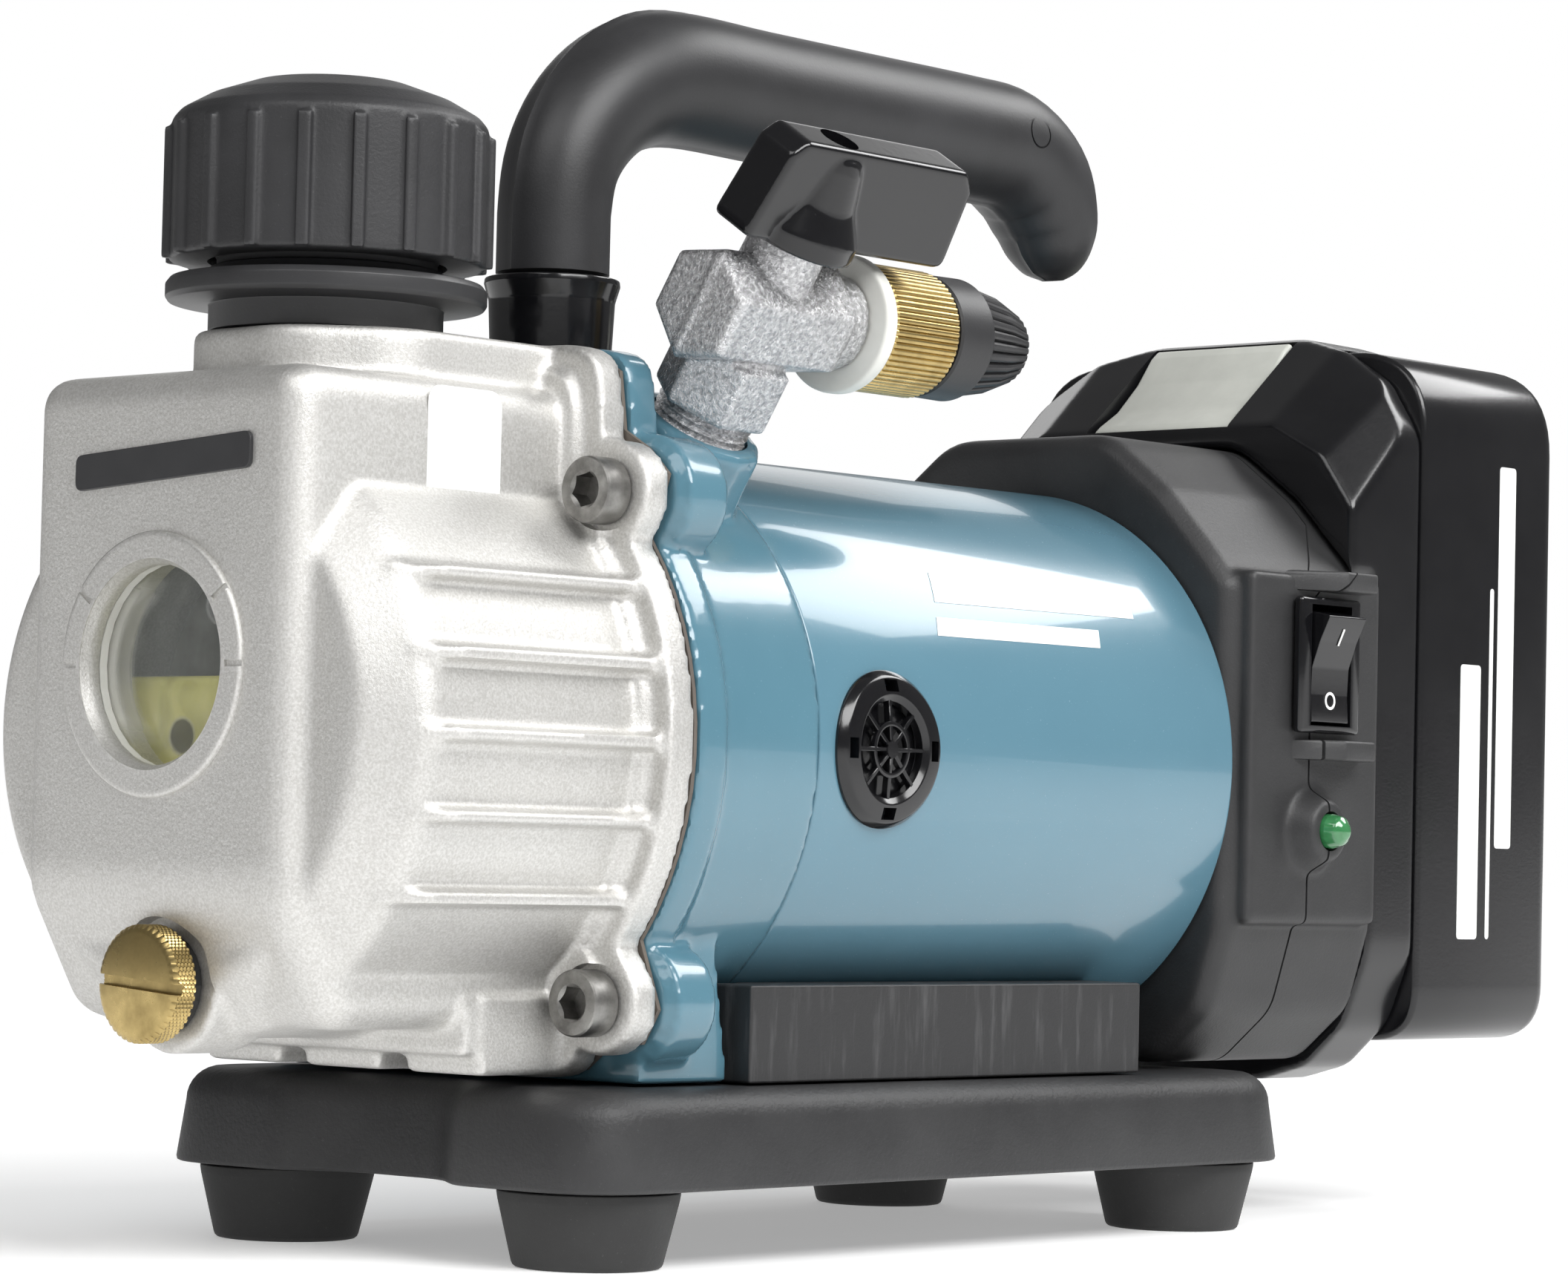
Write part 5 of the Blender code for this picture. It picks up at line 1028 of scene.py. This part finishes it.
def makeSwitch():
    x, z, y = housing["switchX"], housing["switchZ"], -housing["panelY"]
    at = shift(x, y, z)
    rim = loose(bevelled(plate(box2(0.0075, 0.0099), -0.0019, -0.0003, "Y"), 0.0006, sharper(40), 3))
    combined(rim, bevelled(crate((-0.0064, 0.0064), (-0.0006, 0.011), (-0.0091, 0.0091)), 0.0002, sharper(40),
                           1), "UNION")
    combined(rim, crate((-0.005, 0.005), (-0.01, 0.009), (-0.0088, 0.0088)))
    make("switch_frame", placed(bmeshOf(rim), at), gloss, stands=["switch_bezel"])
    end = 0.0079
    side = [(-0.0034, -end), (-0.0024, -0.004), (-0.0018, 0), (-0.0024, 0.004), (-0.0034, end), (0.001, end),
            (0.006, 0.003), (0.006, -0.003), (0.001, -end)]
    tilt = at @ spin(radians(11), "X")
    key = plate(eased(side, [0.0003, 0.003, 0.002, 0.003, 0.0003, 0, 0, 0, 0], 3), -0.0046, 0.0046, "X")
    make("rocker_key", placed(key, tilt), gloss, "rocker", stands=["switch_rocker"],
         edge=0.0002, edgeSteps=2)
    marks = [placed(turned([(0.0009, 0), (0.0013, 0), (0.0013, 0.00008), (0.0009, 0.00008)], 32, True),
                    tilt @ shift(0, -0.00268, -0.0047) @ spin(radians(90 - 13), "X")),
             placed(crate((-0.0002, 0.0002), (-0.0013, 0.0013), (0, 0.00008)),
                    tilt @ shift(0, -0.00268, 0.0047) @ spin(radians(90 + 13), "X"))]
    make("rocker_marks", gathered(marks), whitePrint, "rocker")
    lens = eased([(0, 0.035), (0.0025, 0.035), (0.0025, 0.0452), (0.0021, 0.0468), (0.0011, 0.0475),
                  (0, 0.0476)], [0, 0, 0.0005, 0.001, 0.0008, 0], 4, False)
    make("led_lens", placed(turned(lens, 48), outOfSide(housing["ledX"], housing["ledZ"])), greenLens,
         stands=["power_led"])


# battery
pack = {"front": 0.0956, "split": 0.108, "rear": 0.146, "halfWide": 0.0375, "low": 0.0264, "top": 0.1316,
        "domeTop": 0.1343, "domeLow": 0.118, "lip": 0.0202, "buttonY": 0.013}


def makeBattery():
    low, top, wide = pack["low"], pack["top"], pack["halfWide"]
    section = eased([(-wide, low), (wide, low), (wide, top), (-wide, top)], [0.0085, 0.0085, 0.014, 0.014], 12)
    case = plate(section, pack["split"] + 0.0003, pack["rear"], "X")
    bevelled(case, 0.0042, level(0, pack["rear"]), 8)
    bevelled(case, 0.0009, level(0, pack["split"] + 0.0003), 3)
    case = combined(loose(case), plate(eased([(-wide + 0.0025, low + 0.0025), (wide - 0.0025, low + 0.0025),
            (wide - 0.0025, top - 0.0025), (-wide + 0.0025, top - 0.0025)],
                                             0.006, 4), pack["split"] + 0.0008, pack["rear"] - 0.0025, "X"))
    slope = atan2(pack["domeTop"] - pack["domeLow"], 0.019)
    key = shift(0.0995, 0, (pack["domeTop"] + pack["domeLow"]) / 2) @ spin(-slope, "Y")

    def pocket():
        return placed(crate((-0.0116, 0.0116), (-0.0136, 0.0136), (-0.005, 0.004)), key)

    combined(case, pocket())
    make("battery_box", case, batteryBlack, "battery", stands=["battery_case"], angle=40)
    half = [(0.014, pack["domeTop"]), (0.024, 0.1315), (0.0318, 0.1265), (0.0372, pack["domeLow"]),
            (0.0372, 0.04),
            (0.033, 0.029), (0.026, 0.0225), (0.018, pack["lip"])]
    radii = [0.012, 0.008, 0.008, 0.01, 0.012, 0.008, 0.006, 0.006]
    front = loose(plate(eased(mirrored(half), radii + radii[::-1], 6), 0.085, 0.13, "X"))
    side = eased([(pack["front"], 0.019), (pack["split"], 0.019), (pack["split"], 0.1319), (0.1235, 0.1319),
                  (0.1228, 0.1338),
                  (0.109, pack["domeTop"] + 0.0002), (0.09, pack["domeLow"] + 0.001), (0.09,
                          0.094), (pack["front"], 0.094)],
                 [0, 0, 0, 0, 0.0008, 0.006, 0.0012, 0.0005, 0.0005], 5)
    combined(front, plate(side, -0.05, 0.05, "Y"), "INTERSECT")
    # the same slope leans on each shoulder, turned about a line inside the dome
    for turn, near, far in ((-55, 0.044, 0.0528), (-28, 0.043, 0.055), (28, 0.043, 0.055), (55, 0.044, 0.0528)):
        slope = plate([(0.088, -0.2), (0.16, -0.2), (0.16, far + 0.001), (0.106, far), (0.09, near),
                       (0.088, near - 0.002)], -0.2, 0.2, "Y")
        combined(front, placed(slope, shift(0, 0, 0.082) @ spin(radians(turn), "X")), "INTERSECT")
    collarOutline = [(y * 1.012, z + 0.0004) for y, z in housingSection()]
    combined(front, plate(collarOutline, 0.08, pack["front"] - 0.0001, "X"))
    front = melted(front, 0.00055, 11)
    combined(front, gathered([crate((pack["front"] - 0.001, pack["front"] + 0.0068), (-0.0166, 0.0166),
            (0.018, 0.101)), pocket()]))
    make("battery_rails", front, batteryBlack, "battery", stands=["battery_rail_shell"],
         angle=45)
    profile = [(-0.011, -0.0026), (0.011, -0.0026), (0.011, 0.0004), (0.0085, 0.0005), (0.003, -0.0006),
               (-0.004, -0.0009), (-0.009, 0.0000), (-0.011, 0.0001)]
    button = plate(eased(profile, [0, 0, 0.0008, 0.002, 0.006, 0.006, 0.002, 0.0008], 4), -pack["buttonY"],
                   pack["buttonY"], "Y")
    bevelled(button, 0.0008, sharper(50), 4)
    make("release_button", placed(button, key), offWhite, "battery_latch",
         stands=["battery_button"])
    bars = [crate((0.119, 0.1245), (-wide - 0.00006, -wide + 0.0001), (0.042, 0.084)),
            crate((0.129, 0.1335), (-wide - 0.00006, -wide + 0.0001), (0.056, 0.115)),
            crate((0.1268, 0.1278), (-wide - 0.00006, -wide + 0.0001), (0.042, 0.096))]
    for bar in bars:
        bevelled(bar, 0.0006, lambda e: abs(e.verts[0].co.y - e.verts[1].co.y) > 0.00005, 3)
    make("battery_bars", gathered(bars), whitePrint, "battery")


# pieces that keep their CAD shape get their finish
plain = {"armature": copper, "cap_seal": sealRubber, "cell_pack": cellWrap, "cooling_fan": satin,
         "drain_plug_seal": sealRubber, "drive_shaft": steel, "exhaust_filter": feltFinish,
         "front_bearing": steel, "lever_screw": screwSteel, "magnet_ring": ferrite, "motor_front_plate": silver,
         "motor_rear_plate": silver, "port_cap_seal": ptfe, "pump_rotor": steel, "pump_stator": iron,
         "rear_bearing": steel, "reservoir_gasket": paper, "shaft_coupling": satin, "shaft_seal": sealRubber,
         "sight_glass_seal": ptfe, "stator_cover": iron, "terminal_block": satin, "valve_ball": steel,
         "valve_stem": steel, "vane_1": carbon, "vane_2": carbon}


def dressInside():
    for name, finish in plain.items():
        nodes[name].data.materials.clear()
        nodes[name].data.materials.append(finish)


# floor, light and camera
studio = {"floor": (0.86, 0.86, 0.86), "world": 0.17, "lens": 112.08, "yaw": 48.62, "pitch": 2.5, "roll": 1.34,
          "eye": (-0.509, -0.4528, 0.0521)}


def makeStudio():
    bm = bmesh.new()
    bmesh.ops.create_grid(bm, x_segments=1, y_segments=1, size=12)
    floor = loose(bm, "floor")
    f = Finish("paleFloor", Roughness=0.7, Emission_Strength=1.0)
    reach = f.add("ShaderNodeVectorMath", {"operation": "LENGTH"}, {0: f.place}, "Value")
    away = f.level(reach, 0.16, 0.75)
    floor.data.materials.append(f.wire(Base_Color=f.blend(away,
            f.blend(f.noise(3), studio["floor"], (0.84, 0.84, 0.84)), (0.05, 0.05, 0.05)),
                                       Emission_Color=f.blend(away, (0.34, 0.34, 0.34), (1, 1, 1))))
    world = bpy.data.worlds.new("studio")
    world.use_nodes = True
    tree = world.node_tree
    bright = tree.nodes["Background"]
    bright.inputs["Color"].default_value = (1, 1, 1, 1)
    bright.inputs["Strength"].default_value = studio["world"]
    seen = tree.nodes.new("ShaderNodeBackground")
    seen.inputs["Color"].default_value = (1, 1, 1, 1)
    seen.inputs["Strength"].default_value = 1.0
    pick = tree.nodes.new("ShaderNodeMixShader")
    rays = tree.nodes.new("ShaderNodeLightPath")
    tree.links.new(rays.outputs["Is Camera Ray"], pick.inputs[0])
    tree.links.new(bright.outputs[0], pick.inputs[1])
    tree.links.new(seen.outputs[0], pick.inputs[2])
    tree.links.new(pick.outputs[0], tree.nodes["World Output"].inputs[0])
    bpy.context.scene.world = world
    for name, place, size, power, aim in (("key", (-0.15, -1.05, 0.95), (1.1, 0.6), 20, (0, 0, 0.07)),
                                          ("right", (1.05, -0.38, 1.05), (0.8, 0.5), 9, (0, 0, 0.07)),
                                          ("left", (-1.00, -0.25, 1.05), (0.8, 0.6), 4.5, (-0.05, 0, 0.07)),
                                          ("back", (0.95, 0.95, 0.75), (0.9, 0.5), 1.4, (0, 0, 0.1))):
        lamp = bpy.data.lights.new(name, "AREA")
        lamp.shape = "RECTANGLE"
        lamp.size, lamp.size_y = size
        lamp.energy = power
        obj = bpy.data.objects.new(name, lamp)
        bpy.context.scene.collection.objects.link(obj)
        obj.location = place
        obj.rotation_euler = (Vector(aim) - Vector(place)).to_track_quat("-Z", "Y").to_euler()
    yaw, pitch, roll = (radians(studio[key]) for key in ("yaw", "pitch", "roll"))
    ahead = Vector((sin(yaw) * cos(pitch), cos(yaw) * cos(pitch), sin(pitch)))
    right = Vector((cos(yaw), -sin(yaw), 0))
    up = right.cross(ahead)
    across = right * cos(roll) + up * sin(roll)
    upright = up * cos(roll) - right * sin(roll)
    lens = bpy.data.cameras.new("camera")
    lens.lens, lens.sensor_width, lens.clip_start, lens.clip_end = studio["lens"], 36, 0.01, 50
    camera = bpy.data.objects.new("camera", lens)
    bpy.context.scene.collection.objects.link(camera)
    turn = Matrix((across, upright, -ahead)).transposed().to_4x4()
    camera.matrix_world = Matrix.Translation(Vector(studio["eye"]) + middle) @ turn
    bpy.context.scene.camera = camera
    bpy.context.scene.view_settings.view_transform = "Standard"


for stage in (makeStudio, makeFeet, makeBase, makeMotor, makePumpBody, makeReservoir, makeScrews, makeSight,
              makePlug,
              makeExhaust, makeValve, makeLever, makeHandle, makeHousing, makeSwitch, makeBattery, dressInside):
    stage()
    print(stage.__name__, "done", flush=True)
